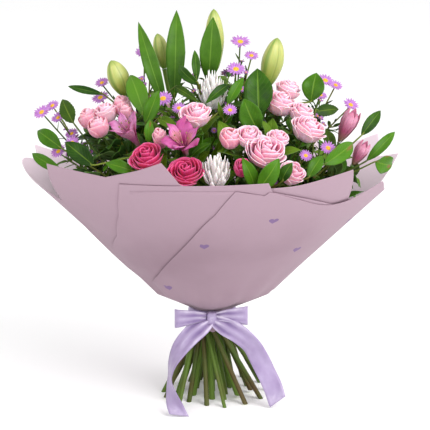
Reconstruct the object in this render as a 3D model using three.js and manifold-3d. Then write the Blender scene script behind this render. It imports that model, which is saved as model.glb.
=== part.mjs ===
// A mixed flower bouquet in paper, in millimetres, +Z up. It stands on the cut ends of its stems.
// The stems are tied in a spiral, so that their feet spread into a ring, and fan out above the tie
// to the blooms. Every stem, spray, bloom cluster, sheet of paper and the ribbon is a solid of its own.
import * as THREE from 'three';
import Module from 'manifold-3d';

const wasm = await Module();
wasm.setup();

// ---------------------------------------------------------------- driving dimensions

const TIE_HEIGHT = 115;                 // where the stems cross
const SPIRAL = -0.035;                  // sideways run of a stem per millimetre of height, over its radius
const STRAIGHT_TOP = 160;               // the stems are straight up to here, and curve above
const RINGS = [1, 6, 12, 14];           // stems in each ring at the tie
const STEM_SIDES = 5;
const SPIRAL_LEAD = -62;                // degrees between a stem's place in the tie and its flower
const CURVE_PULL = 0.9;                 // how long a stem keeps its first and last direction
const GAP = 0.35;                       // between two pieces that touch
const FACING_HEIGHT = 200;              // blooms face away from this point on the axis
const DOME = [222, 202, 176];           // half-axes of the mass of flowers
const DOME_CENTRE_HEIGHT = 250;

const LARGE_ROSE = 37;                  // wider roses have two layers of petals round the middle
const DAISY_SEAT = 2;                   // a daisy's stalk ends this far under its middle
const STALK_SHORT = 2;                  // a stalk ends this far under the seat of its flower
const PAPER_WAIST = [[100, 26], [121, 23.4], [146, 76]];      // height and radius
const PAPER_FLARE = 70;                 // above the waist the radius is the height less this
const PAPER_FLATTENING = 0.86;          // depth of the wrap over its width
const PAPER_THICKNESS = 1.1;            // measured level
const PAPER_PITCH = 1.55;               // from one sheet to the next, measured level
const PAPER_STEP = 10;                  // degrees between the folds of a sheet

const RIBBON_HALF = 12.5;               // the ribbon is 25 wide
const RIBBON_THICKNESS = 1;
const LEAF_THICKNESS = 0.8;

const COLOURS = {
  leaf: [0x3f7a1e, 0.45],
  lilyBud: [0xc9d483, 0.45],
  pinkRose: [0xf2a5b9, 0.7],
  hotRose: [0xd8336b, 0.7],
  chrysanthemum: [0xf6f1ec, 0.75],
  alstroemeria: [0xc765a0, 0.65],
  aster: [0xb58bd6, 0.7],
  paper: [0xc9b1bf, 0.85],
  ribbon: [0xc9b6e6, 0.3],
  string: [0xa58d63, 0.9],
};

// ---------------------------------------------------------------- small helpers

const vec = (x, y, z) => new THREE.Vector3(x, y, z);
const from = (list) => vec(...list);
const plus = (a, b, scale = 1) => a.clone().addScaledVector(b, scale);
const minus = (a, b) => a.clone().sub(b);
const mix = (a, b, t) => a.clone().lerp(b, t);
const unit = (a) => a.clone().normalize();
const cross = (a, b) => a.clone().cross(b);
const radians = THREE.MathUtils.degToRad;
const UP = vec(0, 0, 1);

/** A repeatable stream of numbers from 0 to 1. */
function stream(seed) {
  let state = seed;
  return () => {
    state = (state * 1664525 + 1013904223) % 4294967296;
    return state / 4294967296;
  };
}

/** A random step of up to half a unit along each axis. */
const scatter = (random) => vec(random() - 0.5, random() - 0.5, random() - 0.5);

/** The part of a direction that is square to an axis, made one long. */
function squareTo(direction, axis) {
  return unit(plus(direction, axis, -direction.dot(axis)));
}

/** Two directions square to an axis and to each other. */
function sides(axis) {
  const first = squareTo(Math.abs(axis.x) < 0.9 ? vec(1, 0, 0) : vec(0, 1, 0), axis);
  return [first, cross(axis, first)];
}

/** Degrees round the axis, from the front towards the right. */
const around = (p) => THREE.MathUtils.radToDeg(Math.atan2(p.x, -p.y));

/** A closed solid from points and triangles, with its faces turned outwards. */
function solid(points, triangles) {
  let volume = 0;
  for (const [a, b, c] of triangles) {
    volume += points[a].dot(cross(points[b], points[c]));
  }
  const faces = volume < 0 ? triangles.map(([a, b, c]) => [a, c, b]) : triangles;
  return new wasm.Manifold(new wasm.Mesh({
    numProp: 3,
    vertProperties: Float32Array.from(points.flatMap((p) => [p.x, p.y, p.z])),
    triVerts: Uint32Array.from(faces.flat()),
  }));
}

const join = (solids) => solids.reduce((whole, next) => whole.add(next));

/** Rings of points, or a single point at an end, skinned into one closed solid. A ring may have several
 * times the points of the one before it. */
function loft(rings) {
  const triangles = [];
  let start = 0;
  for (let i = 0; i + 1 < rings.length; i++) {
    const [a, b] = [rings[i].length, rings[i + 1].length];
    const next = start + a;
    for (let k = 0; k < Math.max(a, b); k++) {
      const n = (k + 1) % Math.max(a, b);
      if (b === 1) {
        triangles.push([start + k, start + n, next]);
        continue;
      }
      const [here, after] = [Math.floor((k * a) / b), Math.floor((n * a) / b)];
      triangles.push([start + here, next + n, next + k]);
      if (here !== after) triangles.push([start + here, start + after, next + n]);
    }
    start = next;
  }
  const capped = [[0, rings[0].length, true], [start, rings[rings.length - 1].length, false]];
  for (const [first, count, turned] of capped) {
    for (let k = 1; k + 1 < count; k++) {
      triangles.push(turned ? [first, first + k + 1, first + k] : [first, first + k, first + k + 1]);
    }
  }
  return solid(rings.flat(), triangles);
}

/** Rows of 1 or more points each, with a normal, thickened into a closed plate. */
function plate(rows, thickness) {
  const points = [];
  const index = [];
  for (const row of rows) {
    index.push(row.points.map((p) => {
      points.push(plus(p, row.normal, thickness / 2), plus(p, row.normal, -thickness / 2));
      return points.length - 2;
    }));
  }
  const triangles = [];
  const face = (a, b, c) => triangles.push([a, b, c], [a + 1, c + 1, b + 1]);
  for (let i = 0; i + 1 < index.length; i++) {
    const [low, high] = [index[i], index[i + 1]];
    if (low.length === 1) {
      for (let k = 0; k + 1 < high.length; k++) face(low[0], high[k], high[k + 1]);
    } else if (high.length === 1) {
      for (let k = 0; k + 1 < low.length; k++) face(low[k], high[0], low[k + 1]);
    } else {
      for (let k = 0; k + 1 < low.length; k++) {
        face(low[k], high[k], high[k + 1]);
        face(low[k], high[k + 1], low[k + 1]);
      }
    }
  }
  const last = index[index.length - 1];
  const rim = [
    ...index.map((row) => row[0]),
    ...last.slice(1),
    ...index.slice(0, -1).reverse().map((row) => row[row.length - 1]),
    ...index[0].slice(1, -1).reverse(),
  ].filter((value, k, all) => value !== all[(k + 1) % all.length]);
  rim.forEach((a, k) => {
    const b = rim[(k + 1) % rim.length];
    triangles.push([a, a + 1, b + 1], [a, b + 1, b]);
  });
  return solid(points, triangles);
}

/** A ring of points round a centre. */
function hoop(centre, axis, radius, count) {
  const [e1, e2] = sides(axis);
  return Array.from({ length: count }, (_, k) => {
    const angle = (2 * Math.PI * k) / count;
    return plus(plus(centre, e1, radius * Math.cos(angle)), e2, radius * Math.sin(angle));
  });
}

/** The rings of a round stalk through points: a stem's are level at its foot, where it is cut. */
function stalkRings(path, radii, count) {
  return path.map((p, i) => {
    const before = path[Math.max(i - 1, 0)];
    const after = path[Math.min(i + 1, path.length - 1)];
    const isCut = i === 0 && p.z < TIE_HEIGHT;
    return hoop(p, isCut ? UP : unit(minus(after, before)), radii[i], count);
  });
}

/** The rings that open a stalk into a star with a low peak: sepals, or the rays of a small daisy. */
function starRings(centre, axis, radius, tips, { notch, peak, droop }) {
  const rim = hoop(centre, axis, radius, 2 * tips).map((p, k) =>
    (k % 2 ? plus(mix(centre, p, notch), axis, droop * notch) : plus(p, axis, droop)));
  return [rim, [plus(centre, axis, peak)]];
}

/** A curve from one point and direction to another. */
function swing(start, startWay, end, endWay, t, pull) {
  const k = start.distanceTo(end) * pull;
  const t2 = t * t;
  const t3 = t2 * t;
  const p = start.clone().multiplyScalar(2 * t3 - 3 * t2 + 1);
  p.addScaledVector(startWay, k * (t3 - 2 * t2 + t));
  p.addScaledVector(end, 3 * t2 - 2 * t3);
  return p.addScaledVector(endWay, k * (t3 - t2));
}

// ---------------------------------------------------------------- keeping clear

const blocks = [];      // capsules: { a, b, radius, node, kind, head }

function block(node, kind, a, b, radius, head = null) {
  blocks.push({ a, b, radius, node, kind, head });
}

function distanceTo(p, { a, b }) {
  const run = minus(b, a);
  const length = run.lengthSq();
  const t = length ? THREE.MathUtils.clamp(minus(p, a).dot(run) / length, 0, 1) : 0;
  return p.distanceTo(plus(a, run, t));
}

/** True where the point keeps its margin to everything that isn't passed over. */
function isClear(p, margin, passOver = () => false) {
  return blocks.every((item) => passOver(item) || distanceTo(p, item) >= item.radius + margin);
}

/** How far a point lies above the inside of the paper cone. */
function abovePaper(p) {
  return p.z - PAPER_FLARE - Math.hypot(p.x, p.y / PAPER_FLATTENING);
}

/** Under 1 inside the mass of flowers. */
function domeReach(p) {
  return Math.hypot(p.x / DOME[0], p.y / DOME[1], (p.z - DOME_CENTRE_HEIGHT) / DOME[2]);
}

// ---------------------------------------------------------------- the flowers and their stems

// Every stem: [name, kind, diameter at the tie, share of the way at which it forks].
const STEMS = [
  ['lily_left', 'lily', 7.1, 1],
  ['lily_middle_left', 'lily', 7.1, 1],
  ['lily_middle', 'lily', 7.1, 1],
  ['lily_right', 'lily', 7.1, 1],
  ['pink_rose_left', 'rose', 5.9, 0.72],
  ['pink_rose_middle', 'rose', 5.7, 0.72],
  ['pink_rose_upper_right', 'rose', 5.9, 0.72],
  ['pink_rose_front', 'rose', 5.9, 0.72],
  ['pink_rose_right', 'rose', 5.7, 0.72],
  ['pink_rose_back_left', 'rose', 5.7, 0.74],
  ['pink_rose_back_right', 'rose', 5.7, 0.74],
  ['hot_rose_left', 'rose', 5.7, 1],
  ['hot_rose_front', 'rose', 5.7, 0.7],
  ['chrysanthemum_front', 'chrysanthemum', 6.1, 1],
  ['chrysanthemum_middle', 'chrysanthemum', 6.1, 1],
  ['chrysanthemum_back', 'chrysanthemum', 6.1, 1],
  ['alstroemeria_left', 'alstroemeria', 5.4, 1],
  ['alstroemeria_front', 'alstroemeria', 5.4, 1],
  ['alstroemeria_right', 'alstroemeria', 5.4, 0.75],
  ['aster_left', 'aster', 4.2, 0.72],
  ['aster_upper_left', 'aster', 4.2, 0.75],
  ['aster_middle', 'aster', 4, 0.75],
  ['aster_top', 'aster', 4, 0.8],
  ['aster_right', 'aster', 4.2, 0.75],
  ['aster_front', 'aster', 4, 0.72],
  ['aster_back', 'aster', 4.2, 0.75],
  ['foliage_left', 'foliage', 5.2, [-118, -58, 300]],
  ['foliage_centre', 'foliage', 5.2, [22, -62, 345]],
  ['foliage_front', 'foliage', 5.2, [38, -118, 290]],
  ['foliage_right', 'foliage', 5.2, [128, -55, 305]],
  ['foliage_back_left', 'foliage', 5.2, [-75, 80, 320]],
  ['foliage_back_right', 'foliage', 5.2, [85, 85, 315]],
];

// Every bloom: [its node, its stem, kind, middle, width, height].
const BLOOMS = [
  ['pink_rose_blooms_left', 'pink_rose_left', 'bud', [-112, -37, 392], 24, 29],
  ['pink_rose_blooms_left', 'pink_rose_left', 'bud', [-154, -34, 376], 29, 27],
  ['pink_rose_blooms_left', 'pink_rose_left', 'rose', [-133, -42, 384], 29, 26],
  ['pink_rose_blooms_left', 'pink_rose_left', 'bud', [-141, -60, 370], 29, 26],
  ['pink_rose_blooms_left', 'pink_rose_left', 'bud', [-106, -51, 387], 18, 23],
  ['pink_rose_bud_middle', 'pink_rose_middle', 'bud', [-62, -130, 370], 18, 28],
  ['pink_rose_bloom_middle', 'pink_rose_middle', 'rose', [-20, -110, 394], 35, 28],
  ['pink_rose_blooms_right', 'pink_rose_upper_right', 'rose', [95, -36, 413], 29, 24],
  ['pink_rose_blooms_right', 'pink_rose_upper_right', 'rose', [85, -60, 399], 36, 28],
  ['pink_rose_blooms_right', 'pink_rose_upper_right', 'rose', [110, -65, 389], 29, 24],
  ['pink_rose_blooms_right', 'pink_rose_right', 'rose', [117, -90, 373], 39, 30],
  ['pink_rose_blooms_front', 'pink_rose_front', 'bud', [22, -137, 371], 26, 26],
  ['pink_rose_blooms_front', 'pink_rose_front', 'rose', [43, -134, 372], 29, 24],
  ['pink_rose_blooms_front', 'pink_rose_front', 'rose', [63, -146, 356], 43, 32],
  ['pink_rose_blooms_front', 'pink_rose_front', 'rose', [79, -128, 368], 24, 22],
  ['pink_rose_bloom_low_right', 'pink_rose_right', 'rose', [95, -152, 331], 28, 26],
  ['pink_rose_blooms_back_left', 'pink_rose_back_left', 'rose', [-72, 100, 362], 36, 28],
  ['pink_rose_blooms_back_left', 'pink_rose_back_left', 'rose', [-96, 92, 354], 30, 24],
  ['pink_rose_blooms_back_right', 'pink_rose_back_right', 'rose', [68, 112, 382], 38, 30],
  ['pink_rose_blooms_back_right', 'pink_rose_back_right', 'rose', [92, 99, 376], 30, 24],
  ['hot_rose_bloom_left', 'hot_rose_left', 'rose', [-77, -146, 349], 36, 28],
  ['hot_rose_bloom_front', 'hot_rose_front', 'rose', [-31, -166, 335], 38, 28],
  ['hot_rose_bloom_low', 'hot_rose_front', 'bud', [36, -164, 341], 21, 24],
  ['chrysanthemum_heads_front', 'chrysanthemum_front', 'chrysanthemum', [5, -163, 339], 38, 46],
  ['chrysanthemum_head_middle', 'chrysanthemum_middle', 'chrysanthemum', [1, -52, 415], 36, 50],
  ['chrysanthemum_head_back', 'chrysanthemum_back', 'chrysanthemum', [0, 138, 365], 42, 46],
  ['alstroemeria_flower_left', 'alstroemeria_left', 'alstroemeria', [-98, -112, 371], 34, 54],
  ['alstroemeria_flower_front', 'alstroemeria_front', 'alstroemeria', [-34, -146, 366], 44, 44],
  ['alstroemeria_flower_right', 'alstroemeria_right', 'closed', [169, -45, 368], 24, 46],
  ['alstroemeria_flower_low_right', 'alstroemeria_right', 'closed', [184, -62, 337], 20, 36],
  ['lily_bud_left', 'lily_left', 'lily', [-119, -5, 423], 27, 48],
  ['lily_bud_middle_left', 'lily_middle_left', 'lily', [-66, 32, 452], 20, 46],
  ['lily_bud_middle', 'lily_middle', 'lily', [2, 22, 466], 25, 82],
  ['lily_bud_right', 'lily_right', 'lily', [76, 12, 440], 28, 65],
];

// Small daisy heads: [its stem, middle, width].
const DAISIES = [
  ['aster_left', [-216, -10, 379], 22],
  ['aster_left', [-203, -2, 386], 18],
  ['aster_left', [-194, -22, 374], 18],
  ['aster_left', [-178, -14, 352], 18],
  ['aster_left', [-174, -58, 349], 20],
  ['aster_left', [-192, -48, 336], 20],
  ['aster_upper_left', [-86, 0, 455], 22],
  ['aster_upper_left', [-78, -18, 441], 17],
  ['aster_upper_left', [-140, 6, 414], 18],
  ['aster_upper_left', [-142, 0, 396], 22],
  ['aster_middle', [-60, -66, 406], 24],
  ['aster_middle', [-40, -88, 398], 17],
  ['aster_middle', [22, -102, 398], 17],
  ['aster_top', [36, 10, 466], 24],
  ['aster_top', [50, 4, 449], 18],
  ['aster_top', [30, -30, 437], 24],
  ['aster_right', [144, 0, 418], 22],
  ['aster_right', [158, 12, 410], 18],
  ['aster_right', [137, -16, 402], 17],
  ['aster_right', [176, -8, 388], 20],
  ['aster_front', [141, -106, 352], 20],
  ['aster_front', [113, -122, 346], 16],
  ['aster_front', [66, -166, 330], 18],
  ['aster_back', [-30, 110, 404], 22],
  ['aster_back', [22, 96, 412], 22],
  ['aster_back', [-8, 82, 424], 18],
  ['aster_back', [44, 140, 378], 20],
];

// Leaves that stand out: [kind, foot, tip, width].
const LEAVES = [
  ['lily', [-48, -6, 398], [-43, 30, 506], 25],
  ['lily', [-60, -30, 392], [-99, 5, 491], 20],
  ['lily', [-4, -8, 418], [1, -2, 500], 28],
  ['lily', [0, 40, 412], [-8, 54, 470], 14],
  ['lily', [-78, -66, 390], [-99, -25, 436], 26],
  ['lily', [-19, -34, 424], [-20, -16, 461], 11],
  ['lily', [-12, -45, 412], [-36, -22, 450], 14],
  ['lily', [-128, -5, 411], [-187, 8, 402], 10],
  ['lily', [-132, -2, 416], [-165, 18, 421], 11],
  ['lily', [60, 0, 405], [30, 30, 450], 22],
  ['broad', [58, -78, 387], [56, -48, 443], 36],
  ['broad', [52, -112, 377], [34, -94, 408], 28],
  ['broad', [112, -58, 392], [121, -22, 432], 28],
  ['broad', [22, -58, 420], [-8, -84, 401], 12],
  ['broad', [19, -82, 402], [38, -60, 434], 13],
  ['broad', [-80, -95, 381], [-64, -75, 415], 18],
  ['broad', [-76, -118, 362], [-76, -108, 389], 12],
  ['rose', [-65, -98, 388], [-36, -115, 376], 13],
  ['rose', [-46, -50, 419], [-15, -80, 406], 11],
  ['rose', [-176, -36, 366], [-196, -14, 392], 20],
  ['broad', [-187, -60, 343], [-221, -33, 361], 20],
  ['broad', [-190, -60, 322], [-224, -22, 325], 15],
  ['broad', [-143, -118, 334], [-180, -100, 359], 22],
  ['broad', [-162, -108, 331], [-125, -138, 334], 18],
  ['broad', [-92, -148, 338], [-128, -146, 338], 16],
  ['broad', [47, -172, 322], [40, -172, 351], 17],
  ['broad', [55, -176, 323], [76, -168, 349], 22],
  ['broad', [74, -170, 318], [86, -158, 342], 15],
  ['broad', [134, -122, 333], [182, -84, 358], 21],
  ['broad', [140, -108, 351], [154, -84, 373], 13],
  ['broad', [187, -48, 357], [214, -22, 385], 15],
  ['broad', [182, -65, 347], [203, -42, 368], 12],
  ['broad', [194, -50, 325], [235, -18, 356], 14],
  ['broad', [192, -58, 324], [238, -34, 320], 25],
  ['broad', [112, -148, 328], [134, -122, 346], 16],
  ['rose', [128, -58, 389], [160, -38, 389], 16],
  ['rose', [66, -98, 374], [96, -104, 371], 12],
  ['broad', [40, -14, 424], [57, 22, 449], 24],
];

const TIE = vec(0, 0, TIE_HEIGHT);

/** Where a stem is, at a height below its curve. */
function bundlePoint(place, z) {
  const run = SPIRAL * (z - TIE_HEIGHT);
  return vec(place.x - run * place.y, place.y + run * place.x, z);
}

// How far the heads that follow their stems are drawn upwards; the others face away from the middle.
const UPRIGHT = { lily: 0, rose: 0.05, bud: 0.2, chrysanthemum: 0.6, closed: 0.4, daisy: 0.5 };
const DAISY_TURN = 0.9;                 // how far a daisy turns its face to the nearer side, front or back
const BACK_FROM = 40;                   // daisies further back than this face the back

function headAxis(kind, at) {
  const middle = from(at);
  if (kind in UPRIGHT) {
    const axis = plus(unit(minus(middle, TIE)), UP, UPRIGHT[kind]);
    if (kind === 'daisy') axis.y += middle.y > BACK_FROM ? DAISY_TURN : -DAISY_TURN;
    return unit(axis);
  }
  return unit(minus(middle, vec(0, 0, FACING_HEIGHT)));
}

/** Each head of a stem: where its stalk ends and the way it points. */
function headsOf(name) {
  const blooms = BLOOMS.filter((bloom) => bloom[1] === name).map((bloom) => {
    const [, , kind, at, width, height] = bloom;
    const axis = headAxis(kind, at);
    return { axis, end: plus(from(at), axis, -height / 2), width, kind, place: at };
  });
  const daisies = DAISIES.filter(([stem]) => stem === name).map(([, at, width]) => {
    const axis = headAxis('daisy', at);
    return { axis, end: plus(from(at), axis, -DAISY_SEAT), width, kind: 'daisy', place: at };
  });
  return [...blooms, ...daisies];
}

/** Where each stem ends or forks, and the way it points there. */
function planStems() {
  return STEMS.map(([name, kind, diameter, fork]) => {
    const heads = headsOf(name);
    if (Array.isArray(fork)) {
      const end = from(fork);
      return { name, kind, diameter, heads, end, axis: unit(minus(end, TIE)) };
    }
    if (fork === 1) {
      const [{ axis, end, place }] = heads;
      return { name, kind, diameter, heads, end: plus(end, axis, -STALK_SHORT), axis, head: place };
    }
    const centre = heads.reduce((sum, head) => sum.add(head.end), vec(0, 0, 0)).divideScalar(heads.length);
    const end = mix(TIE, centre, fork);
    return { name, kind, diameter, heads, end, axis: unit(minus(end, TIE)) };
  });
}

/** How far a stem's outline reaches in a level direction. */
function outlineReach({ diameter }, way) {
  const angle = Math.atan2(way.y, way.x);
  const step = (2 * Math.PI) / STEM_SIDES;
  return (diameter / 2) * Math.cos(angle - step * Math.round(angle / step));
}

const PACKING_STEP = 0.02;

/** The place nearest the middle, in a direction, that keeps its gap to the stems placed so far. */
function nearestPlace(stem, way, placed) {
  const isFree = (place) => placed.every((other) => {
    const there = minus(other.place, place);
    const reach = outlineReach(stem, there) + outlineReach(other, there.clone().negate());
    return there.length() >= reach + GAP;
  });
  let place = vec(0, 0, 0);
  while (!isFree(place)) place = plus(place, way, PACKING_STEP);
  return place;
}

/** Gives every stem its place in the tie: upright ones inside, leaning ones outside, in order round it. */
function placeInTie(stems) {
  const lean = (stem) => minus(stem.end, TIE).angleTo(UP);
  const sorted = [...stems].sort((a, b) => lean(a) - lean(b));
  const placed = [];
  for (const count of RINGS) {
    const ring = sorted.splice(0, count).sort((a, b) => around(a.end) - around(b.end));
    const step = 360 / count;
    let [x, y] = [0, 0];
    ring.forEach((stem, k) => {
      const off = radians(around(stem.end) - SPIRAL_LEAD - k * step);
      x += Math.cos(off);
      y += Math.sin(off);
    });
    const turn = Math.atan2(y, x);
    ring.forEach((stem, k) => {
      const angle = turn + radians(k * step);
      stem.place = nearestPlace(stem, vec(Math.sin(angle), -Math.cos(angle), 0), placed);
      placed.push(stem);
    });
  }
}

const cuts = stream(7);
const SHORTER_SHARE = 0.3;              // of the stems are cut this much shorter
const SHORTER = [1, 5];
const STEM_TRIES = 80;
const FIRST_SEED = 411;                 // each stem's own random draws start at this plus its place
const STEM_PUSH = 0.9;                  // how much further each try pushes a stem aside
const MIDWAY = 16;                      // makes t²(1 - t)² reach 1 half way along
const CURVE_STOPS = [0.25, 0.5, 0.75, 1];
const SLOW_TAPER = 0.8;                 // the top radius over the radius at the tie
const FAST_TAPER = 0.6;

/** The stem's line: its foot, the end of its straight part, and four steps of its curve. */
function routeStem(stem) {
  const isShorter = stem.place.length() > 0 && cuts() < SHORTER_SHARE;
  const low = bundlePoint(stem.place, isShorter ? THREE.MathUtils.lerp(...SHORTER, cuts()) : 0);
  const high = bundlePoint(stem.place, STRAIGHT_TOP);
  const way = unit(minus(high, low));
  const pushes = stream(FIRST_SEED + Math.round(stem.end.x));
  for (let attempt = 0; attempt < STEM_TRIES; attempt++) {
    const push = vec(pushes() - 0.5, pushes() - 0.5, 0).multiplyScalar(attempt * STEM_PUSH);
    const curve = CURVE_STOPS.map((t) => {
      const p = swing(high, way, stem.end, stem.axis, t, CURVE_PULL);
      return plus(p, push, MIDWAY * t * t * (1 - t) * (1 - t));
    });
    stem.path = [low, high, ...curve];
    if (isLineClear(stem.path.slice(1), stem.diameter / 2, stem.name, stem.head)) break;
  }
  const taper = ['lily', 'chrysanthemum'].includes(stem.kind) ? SLOW_TAPER : FAST_TAPER;
  const shares = [0, 0, ...CURVE_STOPS];
  stem.radii = shares.map((share) => (stem.diameter / 2) * (1 - (1 - taper) * share));
  for (let i = 0; i + 1 < stem.path.length; i++) {
    block(stem.name, 'stem', stem.path[i], stem.path[i + 1], stem.radii[i]);
  }
}

const LINE_MARGIN = 0.6;
const LINE_STEP = 4;                    // between the points that are tested along a line

function isLineClear(path, radius, node, head = null) {
  for (let i = 0; i + 1 < path.length; i++) {
    const steps = Math.ceil(path[i].distanceTo(path[i + 1]) / LINE_STEP);
    for (let k = 0; k <= steps; k++) {
      const p = mix(path[i], path[i + 1], k / steps);
      const passOver = (item) => item.node === node || (head && item.head === head);
      if (!isClear(p, radius + LINE_MARGIN, passOver)) return false;
    }
  }
  return true;
}

const STALK_TRIES = 60;
const STALK_PUSH = 0.7;
const STALK_PULL = 0.7;

/** A thin stalk from a stem's fork, or from its side, to a head or a leaf. */
function routeStalk(stem, start, startWay, head, radius, random) {
  const end = plus(head.end, head.axis, -STALK_SHORT);
  for (let attempt = 0; attempt < STALK_TRIES; attempt++) {
    const push = scatter(random).multiplyScalar(attempt * STALK_PUSH);
    const middle = plus(swing(start, startWay, end, head.axis, 0.5, STALK_PULL), push);
    if (isLineClear([start, middle, end], radius, stem.name, head.place)) {
      return [start, middle, end];
    }
  }
  throw new Error(`${stem.name} has no way to a head`);
}

// ---------------------------------------------------------------- blooms

// A bloom is a stack of rings, from the seat up and in over each layer of petals to the middle. A level
// holds the radius (over the width) and the height (over the height) at the petals' crowns, the same at
// the notches between them, and its turn in petals.
const ROSE_STOPS = [[-0.28, 1], [0.28, 1], [0.5, 0]];
const QUILL_STOPS = [[0, 1], [0.5, 0]];
const TRUMPET_STOPS = [[-0.32, 0.4], [0, 1], [0.32, 0.4]];

const BLOOM_FORMS = {
  openRose: {
    petals: 5,
    stops: ROSE_STOPS,
    levels: [[0.1, 0, 0.1, 0, 0], [0.42, 0.32, 0.4, 0.32, 0],
      [0.5, 0.76, 0.44, 0.6, 0], [0.43, 0.77, 0.37, 0.61, 0], [0.31, 0.5, 0.31, 0.5, 0.25],
      [0.34, 0.92, 0.29, 0.78, 0.5], [0.28, 0.93, 0.23, 0.79, 0.5], [0.17, 0.7, 0.17, 0.7, 0.75],
      [0.16, 1, 0.11, 0.9, 1]],
    middle: 0.86,
  },
  rose: {
    petals: 4,
    stops: ROSE_STOPS,
    levels: [[0.1, 0, 0.1, 0, 0], [0.42, 0.32, 0.4, 0.32, 0], [0.5, 0.76, 0.43, 0.58, 0],
      [0.43, 0.77, 0.36, 0.59, 0], [0.26, 0.5, 0.26, 0.5, 0.25], [0.25, 0.97, 0.18, 0.84, 0.5]],
    middle: 0.8,
  },
  bud: {
    petals: 3,
    stops: ROSE_STOPS,
    levels: [[0.12, 0, 0.12, 0, 0], [0.42, 0.22, 0.4, 0.22, 0], [0.48, 0.5, 0.45, 0.48, 0],
      [0.38, 0.85, 0.34, 0.75, 0], [0.3, 0.87, 0.26, 0.77, 0], [0.16, 0.72, 0.16, 0.72, 0.25],
      [0.15, 1, 0.1, 0.92, 0.5]],
    middle: 0.88,
  },
  chrysanthemum: {
    petals: 8,
    stops: QUILL_STOPS,
    levels: [[0.1, 0, 0.1, 0, 0], [0.25, 0.16, 0.21, 0.16, 0], [0.5, 0.52, 0.24, 0.28, 0],
      [0.17, 0.42, 0.17, 0.42, 0.25], [0.37, 0.82, 0.18, 0.56, 0.5], [0.12, 0.62, 0.12, 0.62, 0.75],
      [0.19, 1, 0.08, 0.78, 1]],
    middle: 0.74,
  },
  alstroemeria: {
    petals: 6,
    stops: TRUMPET_STOPS,
    levels: [[0.05, 0, 0.05, 0, 0], [0.14, 0.34, 0.12, 0.34, 0], [0.32, 0.72, 0.22, 0.6, 0],
      [0.55, 0.95, 0.3, 0.68, 0], [0.27, 0.76, 0.17, 0.66, 0]],
    middle: 0.42,
  },
  closed: {
    petals: 6,
    stops: QUILL_STOPS,
    levels: [[0.08, 0, 0.08, 0, 0], [0.32, 0.3, 0.27, 0.3, 0], [0.46, 0.66, 0.38, 0.62, 0],
      [0.36, 1, 0.33, 0.84, 0]],
    middle: 0.72,
  },
};

function petalledSolid(base, axis, width, height, { petals, stops, levels, middle }) {
  const [e1, e2] = sides(axis);
  const rings = levels.map(([crownRadius, crownHeight, notchRadius, notchHeight, turn]) =>
    Array.from({ length: petals }, (_, petal) => stops.map(([offset, share]) => {
      const angle = (2 * Math.PI * (petal + offset + turn)) / petals;
      const radius = width * (notchRadius + (crownRadius - notchRadius) * share);
      const lift = height * (notchHeight + (crownHeight - notchHeight) * share);
      const p = plus(plus(base, e1, radius * Math.cos(angle)), e2, radius * Math.sin(angle));
      return plus(p, axis, lift);
    })).flat());
  return loft([...rings, [plus(base, axis, middle * height)]]);
}

const LILY_SIDES = 9;
const LILY_RIBS = 3;
const LILY_RIB = 0.07;                  // height of a rib over the radius

/** A closed lily bud, three-sided with ribs, that narrows to its tip. */
function lilyBudSolid(base, axis, width, height) {
  const outline = [[0.24, 0], [0.62, 0.13], [0.93, 0.36], [1, 0.58], [0.72, 0.82], [0.34, 0.95]];
  const rings = outline.map(([share, h]) => {
    const centre = plus(base, axis, h * height);
    return hoop(centre, axis, (share * width) / 2, LILY_SIDES).map((p, k) =>
      mix(centre, p, 1 + LILY_RIB * share * Math.cos((LILY_RIBS * 2 * Math.PI * k) / LILY_SIDES)));
  });
  return loft([...rings, [plus(base, axis, height)]]);
}

const BLOOM_COLOUR = { rose: 'pinkRose', bud: 'pinkRose', chrysanthemum: 'chrysanthemum',
  alstroemeria: 'alstroemeria', closed: 'alstroemeria', lily: 'lilyBud' };

function bloomSolid(bloom) {
  const [, , kind, at, width, height] = bloom;
  const axis = headAxis(kind, at);
  const base = plus(from(at), axis, -height / 2);
  if (kind === 'lily') return lilyBudSolid(base, axis, width, height);
  const form = kind === 'rose' && width > LARGE_ROSE ? 'openRose' : kind;
  return petalledSolid(base, axis, width, height, BLOOM_FORMS[form]);
}

// The capsules that stand for a bloom: where each starts and ends over the height, and its radius over
// the width.
const BLOOM_CAPSULES = {
  lily: [[-0.35, 0.2, 0.5], [0, 0.5, 0.18]],
  alstroemeria: [[0.26, 0.4, 0.5], [-0.45, 0, 0.24]],
  chrysanthemum: [[-0.05, 0.2, 0.48], [-0.4, 0, 0.3]],
  closed: [[-0.35, 0.5, 0.48]],
  rose: [[0, 0, 0.5]],
  bud: [[-0.12, 0.12, 0.5]],
};

function blockBloom([node, , kind, at, width, height]) {
  const axis = headAxis(kind, at);
  for (const [low, high, share] of BLOOM_CAPSULES[kind]) {
    const [a, b] = [low, high].map((along) => plus(from(at), axis, along * height));
    block(node, 'bloom', a, b, share * width, at);
  }
}

// ---------------------------------------------------------------- leaves

const LEAF_SHAPES = {
  broad: [[0, 0], [0.3, 0.92], [0.66, 0.86], [1, 0]],
  rose: [[0, 0], [0.3, 0.95], [0.66, 0.72], [1, 0]],
  lily: [[0, 0], [0.2, 0.7], [0.5, 1], [0.8, 0.62], [1, 0]],
};
const PETIOLE_WIDTH = 2.2;
const LEAF_FOLD = 0.22;                 // how far the edges rise, over the half width
const FLAT_LEAF = 19;                   // narrower leaves aren't folded along the middle

/** A leaf's frame: its way, its upper side and its length; it bends back from its upper side. */
function leafFrame(foot, tip, facing) {
  const way = unit(minus(tip, foot));
  return { foot, way, up: squareTo(facing, way), length: foot.distanceTo(tip) };
}

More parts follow.
